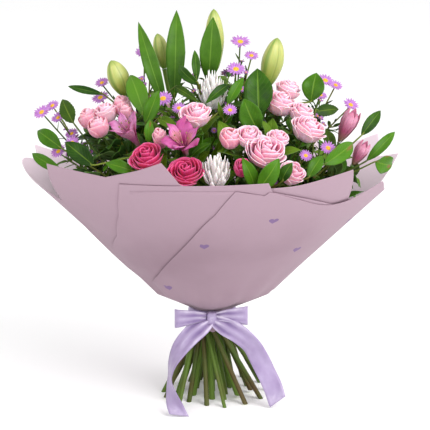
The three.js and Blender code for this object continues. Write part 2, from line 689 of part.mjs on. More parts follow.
/** A point of a leaf, along 0 to 1 and across -1 to 1. */
function leafPoint(frame, along, across, halfWidth, bend) {
  const arch = 4 * along * (1 - along) * bend * frame.length;
  const side = cross(frame.up, frame.way);
  const p = plus(frame.foot, frame.way, along * frame.length);
  p.addScaledVector(side, across * halfWidth);
  return p.addScaledVector(frame.up, arch + Math.abs(across) * halfWidth * LEAF_FOLD);
}

function halfWidthAt(kind, along) {
  const shape = LEAF_SHAPES[kind];
  let k = 0;
  while (shape[k + 1][0] < along) k++;
  const [[s0, w0], [s1, w1]] = [shape[k], shape[k + 1]];
  return w0 + ((w1 - w0) * (along - s0)) / (s1 - s0);
}

function leafSolid({ kind, frame, width, bend, root }) {
  const petioleWay = unit(minus(frame.foot, root));
  const throat = unit(cross(frame.up, plus(petioleWay, frame.way))).multiplyScalar(PETIOLE_WIDTH / 2);
  const lanes = width < FLAT_LEAF ? [-1, 1] : [-1, 0, 1];
  const rows = [
    { points: [root], normal: squareTo(frame.up, petioleWay) },
    { points: lanes.map((u) => plus(frame.foot, throat, u)), normal: frame.up },
  ];
  for (const [along, wide] of LEAF_SHAPES[kind].slice(1)) {
    const across = wide ? lanes : [0];
    const half = (wide * width) / 2;
    rows.push({ points: across.map((u) => leafPoint(frame, along, u, half, bend)), normal: frame.up });
  }
  return plate(rows, LEAF_THICKNESS);
}

const LEAF_STOPS = [0.12, 0.27, 0.42, 0.57, 0.72, 0.86, 1];    // where a leaf is tested along its length
const LEAF_MARGIN = 3.2;
const LEAF_CORE = 2.4;                  // radius of the capsules that stand for a placed leaf
const PAPER_MARGIN = 5;

function leafSamples({ kind, frame, width, bend }) {
  return LEAF_STOPS.flatMap((along) => {
    const half = (halfWidthAt(kind, along) * width) / 2;
    const across = half > 2 * LEAF_MARGIN ? [-1, -0.5, 0, 0.5, 1] : [-1, 0, 1];
    return across.map((u) => leafPoint(frame, along, u, half, bend));
  });
}

function isLeafClear(leaf) {
  return leafSamples(leaf).every((p) => abovePaper(p) > PAPER_MARGIN && isClear(p, LEAF_MARGIN));
}

function blockLeaf(leaf, node) {
  const stops = [0.05, 0.28, 0.52, 0.76, 0.97];
  for (const lane of [-0.62, 0, 0.62]) {
    for (let i = 0; i + 1 < stops.length; i++) {
      const [a, b] = [stops[i], stops[i + 1]].map((along) =>
        leafPoint(leaf.frame, along, lane, (halfWidthAt(leaf.kind, along) * leaf.width) / 2, leaf.bend));
      block(node, 'leaf', a, b, LEAF_CORE);
    }
  }
}

const CARRIER_STOPS = [0.15, 0.5, 0.85];       // along each stretch of a stem
const CARRIER_CHOICES = 24;
const FOLIAGE_LIKING = 0.6;             // a foliage stem is taken from this much further away
const [AHEAD_COST, AHEAD_GAIN] = [1.5, 0.7];

/** The nearest places on the stems that may carry a leaf, with those that lie behind it first. */
function carriers(stems, kind, foot) {
  const options = [];
  for (const stem of stems) {
    if (kind === 'lily' ? stem.kind !== 'lily' : stem.kind === 'aster' || stem.kind === 'lily') continue;
    const lines = [stem.path.slice(2), ...stem.stalks.map((stalk) => stalk.path)];
    for (const line of lines) {
      for (let i = 0; i + 1 < line.length; i++) {
        const way = unit(minus(line[i + 1], line[i]));
        for (const t of CARRIER_STOPS) {
          const at = mix(line[i], line[i + 1], t);
          const reach = minus(foot, at);
          const ahead = reach.dot(way) / (reach.length() + 1);
          const liking = stem.kind === 'foliage' ? FOLIAGE_LIKING : 1;
          options.push({ stem, at, cost: liking * reach.length() * (AHEAD_COST - AHEAD_GAIN * ahead) });
        }
      }
    }
  }
  return options.sort((a, b) => a.cost - b.cost).slice(0, CARRIER_CHOICES);
}

const TWIG_RADIUS = 1.2;
const SHORTEST_PETIOLE = 4;
const STEEPEST_PETIOLE = 0.72;          // cosine of its angle to the leaf's upper side
const LEAF_STRAY = 0.5;                 // how much further each try moves a leaf
const LEAF_TILT = 0.04;                 // and tilts it
const [LEAST_BEND, BEND_RANGE] = [0.04, 0.08];

/** Puts a leaf on the nearest stem that it can reach, moving it a little until nothing is in its way. */
function placeLeaf(stems, kind, foot, tip, width, facing, random, tries) {
  for (let attempt = 0; attempt < tries; attempt++) {
    const stray = () => scatter(random).multiplyScalar(attempt * LEAF_STRAY);
    const newFoot = plus(foot, stray());
    const newTip = plus(tip, stray());
    const turned = plus(facing, stray(), LEAF_TILT);
    const bend = LEAST_BEND + BEND_RANGE * random();
    const leaf = { kind, width, bend, frame: leafFrame(newFoot, newTip, turned) };
    if (!isLeafClear(leaf)) continue;
    for (const { stem, at } of carriers(stems, kind, newFoot)) {
      const petiole = minus(newFoot, at);
      const isSteep = Math.abs(petiole.dot(leaf.frame.up)) > STEEPEST_PETIOLE * petiole.length();
      if (isSteep || petiole.dot(leaf.frame.way) < 0 || petiole.length() < SHORTEST_PETIOLE) continue;
      if (isLineClear([at, newFoot], TWIG_RADIUS, stem.name)) {
        stem.leaves.push({ ...leaf, root: at });
        blockLeaf(leaf, stem.name);
        block(stem.name, 'petiole', at, newFoot, TWIG_RADIUS);
        return;
      }
    }
  }
}

const DRESSING = {
  tries: 400, along: [0.3, 1], ahead: 1.6, petiole: [6, 16], length: [26, 44], outward: 4, slimness: 0.44,
};

/** Gives a stem without a flower leaves of its own near its end. */
function dressStem(stem, wanted, random) {
  const { tries, along, ahead, petiole, length, outward, slimness } = DRESSING;
  const between = ([low, high]) => THREE.MathUtils.lerp(low, high, random());
  const end = stem.path[stem.path.length - 1];
  const earlier = stem.path[stem.path.length - 3];
  for (let attempt = 0; attempt < tries && stem.leaves.length < wanted; attempt++) {
    const start = mix(earlier, end, between(along));
    const sideways = scatter(random);
    const foot = plus(start, unit(plus(stem.axis, sideways, ahead)), between(petiole));
    const leafLength = between(length);
    const tip = plus(foot, unit(plus(minus(foot, start), sideways, outward)), leafLength);
    const facing = plus(stem.axis, scatter(random));
    placeLeaf([stem], 'broad', foot, tip, slimness * leafLength, facing, random, 1);
  }
}

const FILLING = {
  tries: 2600, lean: 50, reach: [225, 285], sideways: 1.7, broadShare: 0.65, length: [34, 60],
  slimness: { broad: [0.36, 0.46], rose: [0.34, 0.42] }, inDome: [0.82, 1.05], tilt: 1.2,
};

/** Fills the gaps between the flowers with leaves, as far as nothing is in the way. */
function fillWithLeaves(stems, wanted) {
  const random = stream(2024);
  const between = ([low, high]) => THREE.MathUtils.lerp(low, high, random());
  const count = () => stems.reduce((sum, { leaves }) => sum + leaves.length, 0);
  const full = count() + wanted;
  for (let attempt = 0; attempt < FILLING.tries && count() < full; attempt++) {
    const turn = radians(360 * random());
    const lean = radians(FILLING.lean * Math.sqrt(random()));
    const way = vec(Math.sin(lean) * Math.sin(turn), -Math.sin(lean) * Math.cos(turn), Math.cos(lean));
    const foot = plus(TIE, way, between(FILLING.reach));
    const kind = random() < FILLING.broadShare ? 'broad' : 'rose';
    const length = between(FILLING.length);
    const tip = plus(foot, unit(plus(way, scatter(random), FILLING.sideways)), length);
    const width = length * between(FILLING.slimness[kind]);
    const facing = plus(way, scatter(random), FILLING.tilt);
    const [nearest, furthest] = FILLING.inDome;
    if (domeReach(tip) < nearest || domeReach(tip) > furthest) continue;
    placeLeaf(stems, kind, foot, tip, width, facing, random, 1);
  }
}

// ---------------------------------------------------------------- assembling the plants

const bouquet = new THREE.Group();

function addMesh(name, solids, colour) {
  const mesh = join(solids).getMesh();
  const geometry = new THREE.BufferGeometry();
  geometry.setAttribute('position', new THREE.BufferAttribute(Float32Array.from(mesh.vertProperties), 3));
  geometry.setIndex(Array.from(mesh.triVerts));
  geometry.computeVertexNormals();
  const [hex, roughness] = COLOURS[colour];
  const material = new THREE.MeshStandardMaterial({ color: hex, roughness, metalness: 0 });
  const piece = new THREE.Mesh(geometry, material);
  piece.name = name;
  bouquet.add(piece);
}

const DAISY_CLEARANCE = 0.5;            // radius kept clear round a daisy, over its width
const FORK_SPREAD = 0.9;                // share of a stem's last stretch from which its stalks leave
const STALK_RADIUS = { rose: 1.3, bud: 1.3, closed: 1.4, daisy: 0.9 };
const STALK_SIDES = { rose: 5, bud: 5, closed: 4, daisy: 3 };
const STALK_SWELL = 1.3;                // a stalk is this much thicker where it leaves its stem
const CUP_RADIUS = { chrysanthemum: 5, lily: 3.6, alstroemeria: 2.6, closed: 2.6 };
const CUP_HEIGHT = 0.8;
const SEPALS = { share: 0.4, notch: 0.38, peak: 1.4, droop: -2.4 };    // share of the rose's width
const DAISY = { tips: 6, notch: 0.45, peak: 2.6, droop: 1.2 };

/** Sends every stem up to its flowers, and every stalk from its stem's fork to its head. */
function growPlants() {
  const stems = planStems();
  placeInTie(stems);
  BLOOMS.forEach(blockBloom);
  DAISIES.forEach(([stem, at, width]) => block(stem, 'daisy', from(at), from(at), DAISY_CLEARANCE * width));
  stems.forEach(routeStem);
  const random = stream(5);
  for (const stem of stems) {
    stem.leaves = [];
    stem.stalks = [];
    const forked = stem.heads.length > 1 ? stem.heads : [];
    const [before, last] = stem.path.slice(-2);
    for (const [k, head] of forked.entries()) {
      const radius = STALK_RADIUS[head.kind];
      const start = mix(last, before, (FORK_SPREAD * k) / forked.length);
      const path = routeStalk(stem, start, stem.axis, head, radius, random);
      stem.stalks.push({ path, radius, head });
      block(stem.name, 'stalk', path[0], path[1], radius);
      block(stem.name, 'stalk', path[1], path[2], radius);
    }
  }
  return stems;
}

/** What a stalk opens into: sepals under a rose, a cup under the others, a small daisy's whole head. */
function seatRings({ axis, end, width, kind }, count) {
  const seat = plus(end, axis, -GAP);
  if (kind === 'daisy') {
    return starRings(plus(end, axis, DAISY_SEAT), axis, width / 2, DAISY.tips, DAISY);
  }
  if (kind === 'rose' || kind === 'bud') {
    return starRings(plus(seat, axis, -SEPALS.peak), axis, SEPALS.share * width, count, SEPALS);
  }
  const radius = CUP_RADIUS[kind];
  return [hoop(plus(seat, axis, -CUP_HEIGHT), axis, radius, count), hoop(seat, axis, radius, count)];
}

/** A stem with its stalks, seats and leaves. */
function stemSolids(stem) {
  const isForked = stem.stalks.length > 0;
  const top = isForked || !stem.heads.length ? [] : seatRings(stem.heads[0], STEM_SIDES);
  const solids = [loft([...stalkRings(stem.path, stem.radii, STEM_SIDES), ...top])];
  for (const { path, radius, head } of stem.stalks) {
    const count = STALK_SIDES[head.kind];
    const rings = stalkRings(path, [radius * STALK_SWELL, radius, radius], count);
    solids.push(loft([...rings, ...seatRings(head, count)]));
  }
  return [...solids, ...stem.leaves.map(leafSolid)];
}

// ---------------------------------------------------------------- paper

/** A point of the wrap, which is flat from one fold to the next: degrees round it, height, and distance
 * outside its inner face. */
function paperPoint(angle, z, out) {
  const last = PAPER_WAIST[PAPER_WAIST.length - 1];
  let radius = z - PAPER_FLARE;
  let share = 1;
  if (z < last[0]) {
    const k = Math.max(PAPER_WAIST.findIndex(([height]) => height > z) - 1, 0);
    const [[z0, r0], [z1, r1]] = [PAPER_WAIST[k], PAPER_WAIST[k + 1]];
    radius = r0 + ((r1 - r0) * (z - z0)) / (z1 - z0);
    share = Math.max(0, (z - PAPER_WAIST[1][0]) / (last[0] - PAPER_WAIST[1][0]));
  }
  const depth = 1 - (1 - PAPER_FLATTENING) * share;
  const corner = (k) => {
    const turn = radians(k * PAPER_STEP);
    return vec(Math.sin(turn), -Math.cos(turn) * depth, 0).multiplyScalar(radius + out).setZ(z);
  };
  const flat = Math.floor(angle / PAPER_STEP);
  return mix(corner(flat), corner(flat + 1), angle / PAPER_STEP - flat);
}

/** A wall of paper or ribbon: columns of heights at steps round the wrap, closed to a ring or open. */
function wall(columns, out, thickness, isRing = false) {
  const points = [];
  const rows = columns[0].heights.length;
  const index = columns.map(({ angle, heights }) => heights.map((z) => {
    points.push(paperPoint(angle, z, out + thickness), paperPoint(angle, z, out));
    return points.length - 2;
  }));
  const triangles = [];
  const quad = (a, b, c, d) => triangles.push([a, b, c], [a, c, d]);
  const spans = isRing ? columns.length : columns.length - 1;
  for (let i = 0; i < spans; i++) {
    const [here, next] = [index[i], index[(i + 1) % columns.length]];
    for (let j = 0; j + 1 < rows; j++) {
      quad(here[j], next[j], next[j + 1], here[j + 1]);
      quad(here[j] + 1, here[j + 1] + 1, next[j + 1] + 1, next[j] + 1);
    }
    quad(here[0] + 1, next[0] + 1, next[0], here[0]);
    quad(here[rows - 1], next[rows - 1], next[rows - 1] + 1, here[rows - 1] + 1);
  }
  if (!isRing) {
    for (let j = 0; j + 1 < rows; j++) {
      quad(index[0][j] + 1, index[0][j], index[0][j + 1], index[0][j + 1] + 1);
      const end = index[spans];
      quad(end[j], end[j] + 1, end[j + 1] + 1, end[j + 1]);
    }
  }
  return solid(points, triangles);
}

// Each sheet: [name, layer from the inside, its edge from one end to the other as degrees and height].
const SHEETS = [
  ['paper_back', 0, [[15, 327], [23, 329], [30, 336], [37, 344], [42, 320], [47, 296], [60, 288],
    [80, 283], [90, 288], [100, 317], [110, 306], [120, 329], [130, 310], [150, 310], [160, 320],
    [170, 332], [180, 324], [200, 334], [210, 312], [240, 306], [250, 321], [255, 305], [260, 315],
    [280, 311], [290, 308], [300, 296], [310, 270], [320, 250]]],
  ['paper_left', 1, [[-72, 180], [-66, 212], [-58, 271], [-52, 305], [-43, 349], [-27, 339],
    [-17, 353], [-11, 365], [-8, 336], [0, 310]]],
  ['paper_centre', 2, [[-60, 206], [-40, 246], [-31, 282], [-25, 322], [-24, 331], [14, 336],
    [16, 322], [30, 305], [50, 280]]],
  ['paper_right', 3, [[-44, 172], [-30, 188], [-10, 237], [1, 286], [6, 326], [14, 318], [15, 323],
    [25, 308], [34, 296], [40, 293], [47, 296], [57, 314], [70, 292], [80, 286], [100, 284],
    [110, 292], [130, 300], [140, 294], [150, 272]]],
];

/** The columns of a sheet: one at each point of its edge and one at each fold. */
function sheetColumns(edge) {
  const waist = PAPER_WAIST.map(([z]) => z);
  return edge.flatMap(([angle, top], k) => {
    if (k + 1 === edge.length) return [{ angle, heights: [...waist, top] }];
    const [nextAngle, nextTop] = edge[k + 1];
    const columns = [];
    for (let at = angle; at < nextAngle; at = PAPER_STEP * (Math.floor(at / PAPER_STEP) + 1)) {
      const height = THREE.MathUtils.mapLinear(at, angle, nextAngle, top, nextTop);
      columns.push({ angle: at, heights: [...waist, height] });
    }
    return columns;
  });
}

function addPaper() {
  for (const [name, layer, edge] of SHEETS) {
    addMesh(name, [wall(sheetColumns(edge), layer * PAPER_PITCH, PAPER_THICKNESS)], 'paper');
  }
}

// ---------------------------------------------------------------- ribbon and tie

const RIBBON_LAYER = 4;
const KNOT = [0, -39, 115];
const STRING_SIDES = 16;
const STRING_RADIUS = 23.05;
const STRING_HALF = 5;                  // half its height
const BAND = [102, 121];                // lowest and highest edge of the ribbon round the waist
const BAND_GAP = 0.45;
const RIBBON_STEP = 20;                 // degrees between the folds of the band

// The loops' middle lines, with their half width; they stand upright.
const BOW = {
  left: [[[-6, -41, 117], 5], [[-24, -50, 119], 9], [[-43, -52, 118], 12], [[-48, -47, 117], 12.5],
    [[-42, -43, 116], 11], [[-24, -41, 116], 8], [[-5, -38, 116], 5]],
  right: [[[4, -41, 118], 5], [[22, -49.2, 121.5], 9], [[41, -52, 122], 12], [[46, -47, 121], 12.5],
    [[40, -43, 120], 11], [[22, -41, 118], 8], [[3, -38, 117], 5]],
};

// The tails' middle lines, with the way that their width lies.
const TAILS = {
  left: [[[-3, -43, 112], [0.8, 0, -0.6]], [[-16, -49, 105], [0.8, -0.2, -0.6]],
    [[-30, -55, 93], [0.8, -0.4, -0.5]], [[-42, -60, 79], [0.7, -0.7, -0.3]],
    [[-51, -65, 62], [0.4, -0.9, 0]], [[-54, -71, 46], [0.2, -1, 0]], [[-52, -78, 31], [0.5, -0.85, 0]],
    [[-47, -88, 13], [0.9, -0.4, 0]], [[-42, -96, 2.8], [1, 0, -0.14]]],
  right: [[[2, -43, 114], [0.55, 0, 0.83]], [[17, -50, 108], [0.55, 0.2, 0.8]],
    [[35, -55, 98], [0.6, 0, 0.8]], [[51, -56, 83], [0.8, -0.2, 0.55]],
    [[61, -55, 65], [0.9, 0, 0.43]], [[70, -55, 46], [0.86, 0.3, 0.4]],
    [[79, -59, 27], [0.9, 0.2, 0.42]], [[85, -66, 9.5], [0.79, 0, 0.61]]],
};
const TAIL_START = 0.6;                 // the tails leave the knot at this share of their width

/** A flat strip along a line, whose rows hold a half width and the way that the width lies. */
function strip(line) {
  const rows = line.map(({ at, half, across }, i) => {
    const before = line[Math.max(i - 1, 0)].at;
    const after = line[Math.min(i + 1, line.length - 1)].at;
    const normal = unit(cross(minus(after, before), across));
    return { points: [plus(at, across, -half), plus(at, across, half)], normal };
  });
  return plate(rows, RIBBON_THICKNESS);
}

const loopStrip = (line) => strip(line.map(([p, half]) => ({ at: from(p), half, across: UP })));
const tailStrip = (line) => strip(line.map(([p, width], i) =>
  ({ at: from(p), half: i ? RIBBON_HALF : TAIL_START * RIBBON_HALF, across: unit(from(width)) })));

// The knot's outline from the band forwards: [half width, half height, distance behind its middle].
const KNOT_RINGS = [[4, 2.5, 8.1], [8, 8, 4], [8, 9, -4], [4, 6, -7]];
const KNOT_SIDES = 8;

function knotSolid() {
  return loft(KNOT_RINGS.map(([half, high, behind]) => Array.from({ length: KNOT_SIDES }, (_, k) => {
    const angle = (2 * Math.PI * (k + 0.5)) / KNOT_SIDES;
    return plus(from(KNOT), vec(half * Math.cos(angle), behind, high * Math.sin(angle)));
  })));
}

function addRibbon() {
  const columns = Array.from({ length: 360 / RIBBON_STEP }, (_, k) => ({
    angle: k * RIBBON_STEP,
    heights: BAND,
  }));
  const band = wall(columns, RIBBON_LAYER * PAPER_PITCH + BAND_GAP, RIBBON_THICKNESS, true);
  const loops = Object.values(BOW).map(loopStrip);
  const tails = Object.values(TAILS).map(tailStrip);
  addMesh('ribbon', [band, knotSolid(), ...loops, ...tails], 'ribbon');
}

/** The tie fills the space between the stems and the paper. */
function addString(stems) {
  const bundle = Math.max(...stems.map(({ place, diameter }) => place.length() + diameter / 2));
  const flats = Math.cos(Math.PI / STRING_SIDES);
  const spread = Math.hypot(1, SPIRAL * STRING_HALF);        // of the stems within the tie's height
  const ring = (radius, high) => hoop(plus(TIE, UP, high), UP, radius, STRING_SIDES);
  const inner = (bundle * spread + GAP) / flats;
  const outside = loft([ring(STRING_RADIUS, -STRING_HALF), ring(STRING_RADIUS, STRING_HALF)]);
  const inside = loft([ring(inner, -2 * STRING_HALF), ring(inner, 2 * STRING_HALF)]);
  addMesh('string_tie', [outside.subtract(inside)], 'string');
}

// ---------------------------------------------------------------- the bouquet

const FRONT = vec(0, -1, 0.35);         // the way that the leaves at the front face
const LEAF_TRIES = 60;
const OWN_LEAVES = 3;
const FILLING_LEAVES = 30;
const stems = growPlants();
const shown = stream(99);
for (const [kind, foot, tip, width] of LEAVES) {
  placeLeaf(stems, kind, from(foot), from(tip), width, FRONT, shown, LEAF_TRIES);
}
for (const stem of stems.filter(({ kind }) => kind === 'foliage')) {
  dressStem(stem, OWN_LEAVES, shown);
}
fillWithLeaves(stems, FILLING_LEAVES);

for (const stem of stems) {
  addMesh(`${stem.name}_stem`, stemSolids(stem), stem.kind === 'aster' ? 'aster' : 'leaf');
}
const bloomNodes = new Map();
for (const bloom of BLOOMS) {
  bloomNodes.set(bloom[0], [...(bloomNodes.get(bloom[0]) ?? []), bloom]);
}
for (const [name, blooms] of bloomNodes) {
  const colour = name.startsWith('hot') ? 'hotRose' : BLOOM_COLOUR[blooms[0][2]];
  addMesh(name, blooms.map(bloomSolid), colour);
}
addPaper();
addRibbon();
addString(stems);

export default bouquet;
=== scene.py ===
"""A mixed flower bouquet in paper, standing on the cut ends of its stems.

The stems, stalks and leaves are placed by the same rule as in the part's source, from the same named
values and the same streams of numbers, and each piece then stands for one of the solids.
"""

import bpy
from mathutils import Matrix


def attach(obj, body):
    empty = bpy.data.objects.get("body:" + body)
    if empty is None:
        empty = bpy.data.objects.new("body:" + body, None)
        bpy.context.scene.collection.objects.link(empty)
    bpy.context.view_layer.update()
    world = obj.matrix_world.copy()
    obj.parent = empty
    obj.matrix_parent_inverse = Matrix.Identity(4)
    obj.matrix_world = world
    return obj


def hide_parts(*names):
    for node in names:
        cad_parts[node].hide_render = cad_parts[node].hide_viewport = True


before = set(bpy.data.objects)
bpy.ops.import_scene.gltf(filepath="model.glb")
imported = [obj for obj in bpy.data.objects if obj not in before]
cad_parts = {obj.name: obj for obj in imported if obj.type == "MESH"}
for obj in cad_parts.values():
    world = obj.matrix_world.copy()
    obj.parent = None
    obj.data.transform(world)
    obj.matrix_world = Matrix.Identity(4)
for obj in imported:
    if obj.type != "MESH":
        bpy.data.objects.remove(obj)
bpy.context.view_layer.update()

import math
from collections import namedtuple
from functools import cached_property

import bpy
import numpy as np
from mathutils import Vector

# ---------------------------------------------------------------- the camera, the floor and the light

CAMERA_TARGET = Vector((0.0039, 0.0, 0.2426))
CAMERA_DISTANCE = 2.0
CAMERA_ELEVATION = math.radians(14)
CAMERA_LENS = 128.8
SENSOR_WIDTH = 36
FLOOR_HALF = 6
FLOOR_COLOUR = (0.95, 0.95, 0.95, 1)
FLOOR_ROUGHNESS = 0.9
SKY_COLOUR = (1, 1, 1, 1)
SKY_STRENGTH = 1.0
# Each light: its place, size and power.
LIGHTS = {"key": ((1.9, -1.6, 2.1), 2.4, 84), "fill": ((-1.4, -1.8, 1.8), 1.6, 14)}


def add_aimed(name, data, place, way):
    """Adds a camera or a light that looks along a direction."""
    thing = bpy.data.objects.new(name, data)
    thing.location = place
    thing.rotation_mode = "QUATERNION"
    thing.rotation_quaternion = way.to_track_quat("-Z", "Y")
    bpy.context.scene.collection.objects.link(thing)
    return thing


def add_camera():
    camera = bpy.data.cameras.new("camera")
    camera.lens = CAMERA_LENS
    camera.sensor_width = SENSOR_WIDTH
    back = Vector((0, -math.cos(CAMERA_ELEVATION), math.sin(CAMERA_ELEVATION)))
    bpy.context.scene.camera = add_aimed("camera", camera, CAMERA_TARGET + back * CAMERA_DISTANCE, -back)
    bpy.context.scene.view_settings.view_transform = "Standard"


def add_floor():
    mesh = bpy.data.meshes.new("floor")
    corners = [(x * FLOOR_HALF, y * FLOOR_HALF, 0) for x, y in ((-1, -1), (1, -1), (1, 1), (-1, 1))]
    mesh.from_pydata(corners, [], [(0, 1, 2, 3)])
    floor = bpy.data.objects.new("floor", mesh)
    bpy.context.scene.collection.objects.link(floor)
    material = bpy.data.materials.new("floor")
    material.use_nodes = True
    shader = material.node_tree.nodes["Principled BSDF"]
    shader.inputs["Base Color"].default_value = FLOOR_COLOUR
    shader.inputs["Roughness"].default_value = FLOOR_ROUGHNESS
    mesh.materials.append(material)


def add_sky():
    world = bpy.data.worlds.new("sky")
    world.use_nodes = True
    background = world.node_tree.nodes["Background"]
    background.inputs["Color"].default_value = SKY_COLOUR
    background.inputs["Strength"].default_value = SKY_STRENGTH
    bpy.context.scene.world = world


def add_lights():
    for name, (place, size, power) in LIGHTS.items():
        light = bpy.data.lights.new(name, "AREA")
        light.shape = "DISK"
        light.size = size
        light.energy = power
        add_aimed(name, light, place, CAMERA_TARGET - Vector(place))


# ---------------------------------------------------------------- driving dimensions, in millimetres

TIE_HEIGHT = 115
SPIRAL = -0.035                 # sideways run of a stem per millimetre of height, over its radius
STRAIGHT_TOP = 160
RINGS = (1, 6, 12, 14)          # stems in each ring at the tie
STEM_SIDES = 5                  # of the solids, which set how closely the stems pack
SPIRAL_LEAD = -62
CURVE_PULL = 0.9
GAP = 0.35
FACING_HEIGHT = 200             # blooms face away from this point on the axis
DOME = (222, 202, 176)          # half-axes of the mass of flowers
DOME_CENTRE_HEIGHT = 250
LARGE_ROSE = 37
DAISY_SEAT = 2
STALK_SHORT = 2
PAPER_FLARE = 70                # above the waist the radius is the height less this
PAPER_FLATTENING = 0.86         # depth of the wrap over its width

# The streams of random numbers start at these.
SEEDS = {"cuts": 7, "stalks": 5, "leaves": 99, "filling": 2024, "undergrowth": 404, "details": 31}

# Every stem: name, kind, diameter at the tie, share of the way at which it forks or where it ends.
STEMS = (
    ("lily_left", "lily", 7.1, 1),
    ("lily_middle_left", "lily", 7.1, 1),
    ("lily_middle", "lily", 7.1, 1),
    ("lily_right", "lily", 7.1, 1),
    ("pink_rose_left", "rose", 5.9, 0.72),
    ("pink_rose_middle", "rose", 5.7, 0.72),
    ("pink_rose_upper_right", "rose", 5.9, 0.72),
    ("pink_rose_front", "rose", 5.9, 0.72),
    ("pink_rose_right", "rose", 5.7, 0.72),
    ("pink_rose_back_left", "rose", 5.7, 0.74),
    ("pink_rose_back_right", "rose", 5.7, 0.74),
    ("hot_rose_left", "rose", 5.7, 1),
    ("hot_rose_front", "rose", 5.7, 0.7),
    ("chrysanthemum_front", "chrysanthemum", 6.1, 1),
    ("chrysanthemum_middle", "chrysanthemum", 6.1, 1),
    ("chrysanthemum_back", "chrysanthemum", 6.1, 1),
    ("alstroemeria_left", "alstroemeria", 5.4, 1),
    ("alstroemeria_front", "alstroemeria", 5.4, 1),
    ("alstroemeria_right", "alstroemeria", 5.4, 0.75),
    ("aster_left", "aster", 4.2, 0.72),
    ("aster_upper_left", "aster", 4.2, 0.75),
    ("aster_middle", "aster", 4, 0.75),
    ("aster_top", "aster", 4, 0.8),
    ("aster_right", "aster", 4.2, 0.75),
    ("aster_front", "aster", 4, 0.72),
    ("aster_back", "aster", 4.2, 0.75),
    ("foliage_left", "foliage", 5.2, (-118, -58, 300)),
    ("foliage_centre", "foliage", 5.2, (22, -62, 345)),
    ("foliage_front", "foliage", 5.2, (38, -118, 290)),
    ("foliage_right", "foliage", 5.2, (128, -55, 305)),
    ("foliage_back_left", "foliage", 5.2, (-75, 80, 320)),
    ("foliage_back_right", "foliage", 5.2, (85, 85, 315)),
)

Bloom = namedtuple("Bloom", "node stem kind at width height")   # at is the middle of the bloom
BLOOMS = [Bloom(*row) for row in (
    ("pink_rose_blooms_left", "pink_rose_left", "bud", (-112, -37, 392), 24, 29),
    ("pink_rose_blooms_left", "pink_rose_left", "bud", (-154, -34, 376), 29, 27),
    ("pink_rose_blooms_left", "pink_rose_left", "rose", (-133, -42, 384), 29, 26),
    ("pink_rose_blooms_left", "pink_rose_left", "bud", (-141, -60, 370), 29, 26),
    ("pink_rose_blooms_left", "pink_rose_left", "bud", (-106, -51, 387), 18, 23),
    ("pink_rose_bud_middle", "pink_rose_middle", "bud", (-62, -130, 370), 18, 28),
    ("pink_rose_bloom_middle", "pink_rose_middle", "rose", (-20, -110, 394), 35, 28),
    ("pink_rose_blooms_right", "pink_rose_upper_right", "rose", (95, -36, 413), 29, 24),
    ("pink_rose_blooms_right", "pink_rose_upper_right", "rose", (85, -60, 399), 36, 28),
    ("pink_rose_blooms_right", "pink_rose_upper_right", "rose", (110, -65, 389), 29, 24),
    ("pink_rose_blooms_right", "pink_rose_right", "rose", (117, -90, 373), 39, 30),
    ("pink_rose_blooms_front", "pink_rose_front", "bud", (22, -137, 371), 26, 26),
    ("pink_rose_blooms_front", "pink_rose_front", "rose", (43, -134, 372), 29, 24),
    ("pink_rose_blooms_front", "pink_rose_front", "rose", (63, -146, 356), 43, 32),
    ("pink_rose_blooms_front", "pink_rose_front", "rose", (79, -128, 368), 24, 22),
    ("pink_rose_bloom_low_right", "pink_rose_right", "rose", (95, -152, 331), 28, 26),
    ("pink_rose_blooms_back_left", "pink_rose_back_left", "rose", (-72, 100, 362), 36, 28),
    ("pink_rose_blooms_back_left", "pink_rose_back_left", "rose", (-96, 92, 354), 30, 24),
    ("pink_rose_blooms_back_right", "pink_rose_back_right", "rose", (68, 112, 382), 38, 30),
    ("pink_rose_blooms_back_right", "pink_rose_back_right", "rose", (92, 99, 376), 30, 24),
    ("hot_rose_bloom_left", "hot_rose_left", "rose", (-77, -146, 349), 36, 28),
    ("hot_rose_bloom_front", "hot_rose_front", "rose", (-31, -166, 335), 38, 28),
    ("hot_rose_bloom_low", "hot_rose_front", "bud", (36, -164, 341), 21, 24),
    ("chrysanthemum_heads_front", "chrysanthemum_front", "chrysanthemum", (5, -163, 339), 38, 46),
    ("chrysanthemum_head_middle", "chrysanthemum_middle", "chrysanthemum", (1, -52, 415), 36, 50),
    ("chrysanthemum_head_back", "chrysanthemum_back", "chrysanthemum", (0, 138, 365), 42, 46),
    ("alstroemeria_flower_left", "alstroemeria_left", "alstroemeria", (-98, -112, 371), 34, 54),
    ("alstroemeria_flower_front", "alstroemeria_front", "alstroemeria", (-34, -146, 366), 44, 44),
    ("alstroemeria_flower_right", "alstroemeria_right", "closed", (169, -45, 368), 24, 46),
    ("alstroemeria_flower_low_right", "alstroemeria_right", "closed", (184, -62, 337), 20, 36),
    ("lily_bud_left", "lily_left", "lily", (-119, -5, 423), 27, 48),
    ("lily_bud_middle_left", "lily_middle_left", "lily", (-66, 32, 452), 20, 46),
    ("lily_bud_middle", "lily_middle", "lily", (2, 22, 466), 25, 82),
    ("lily_bud_right", "lily_right", "lily", (76, 12, 440), 28, 65),
)]

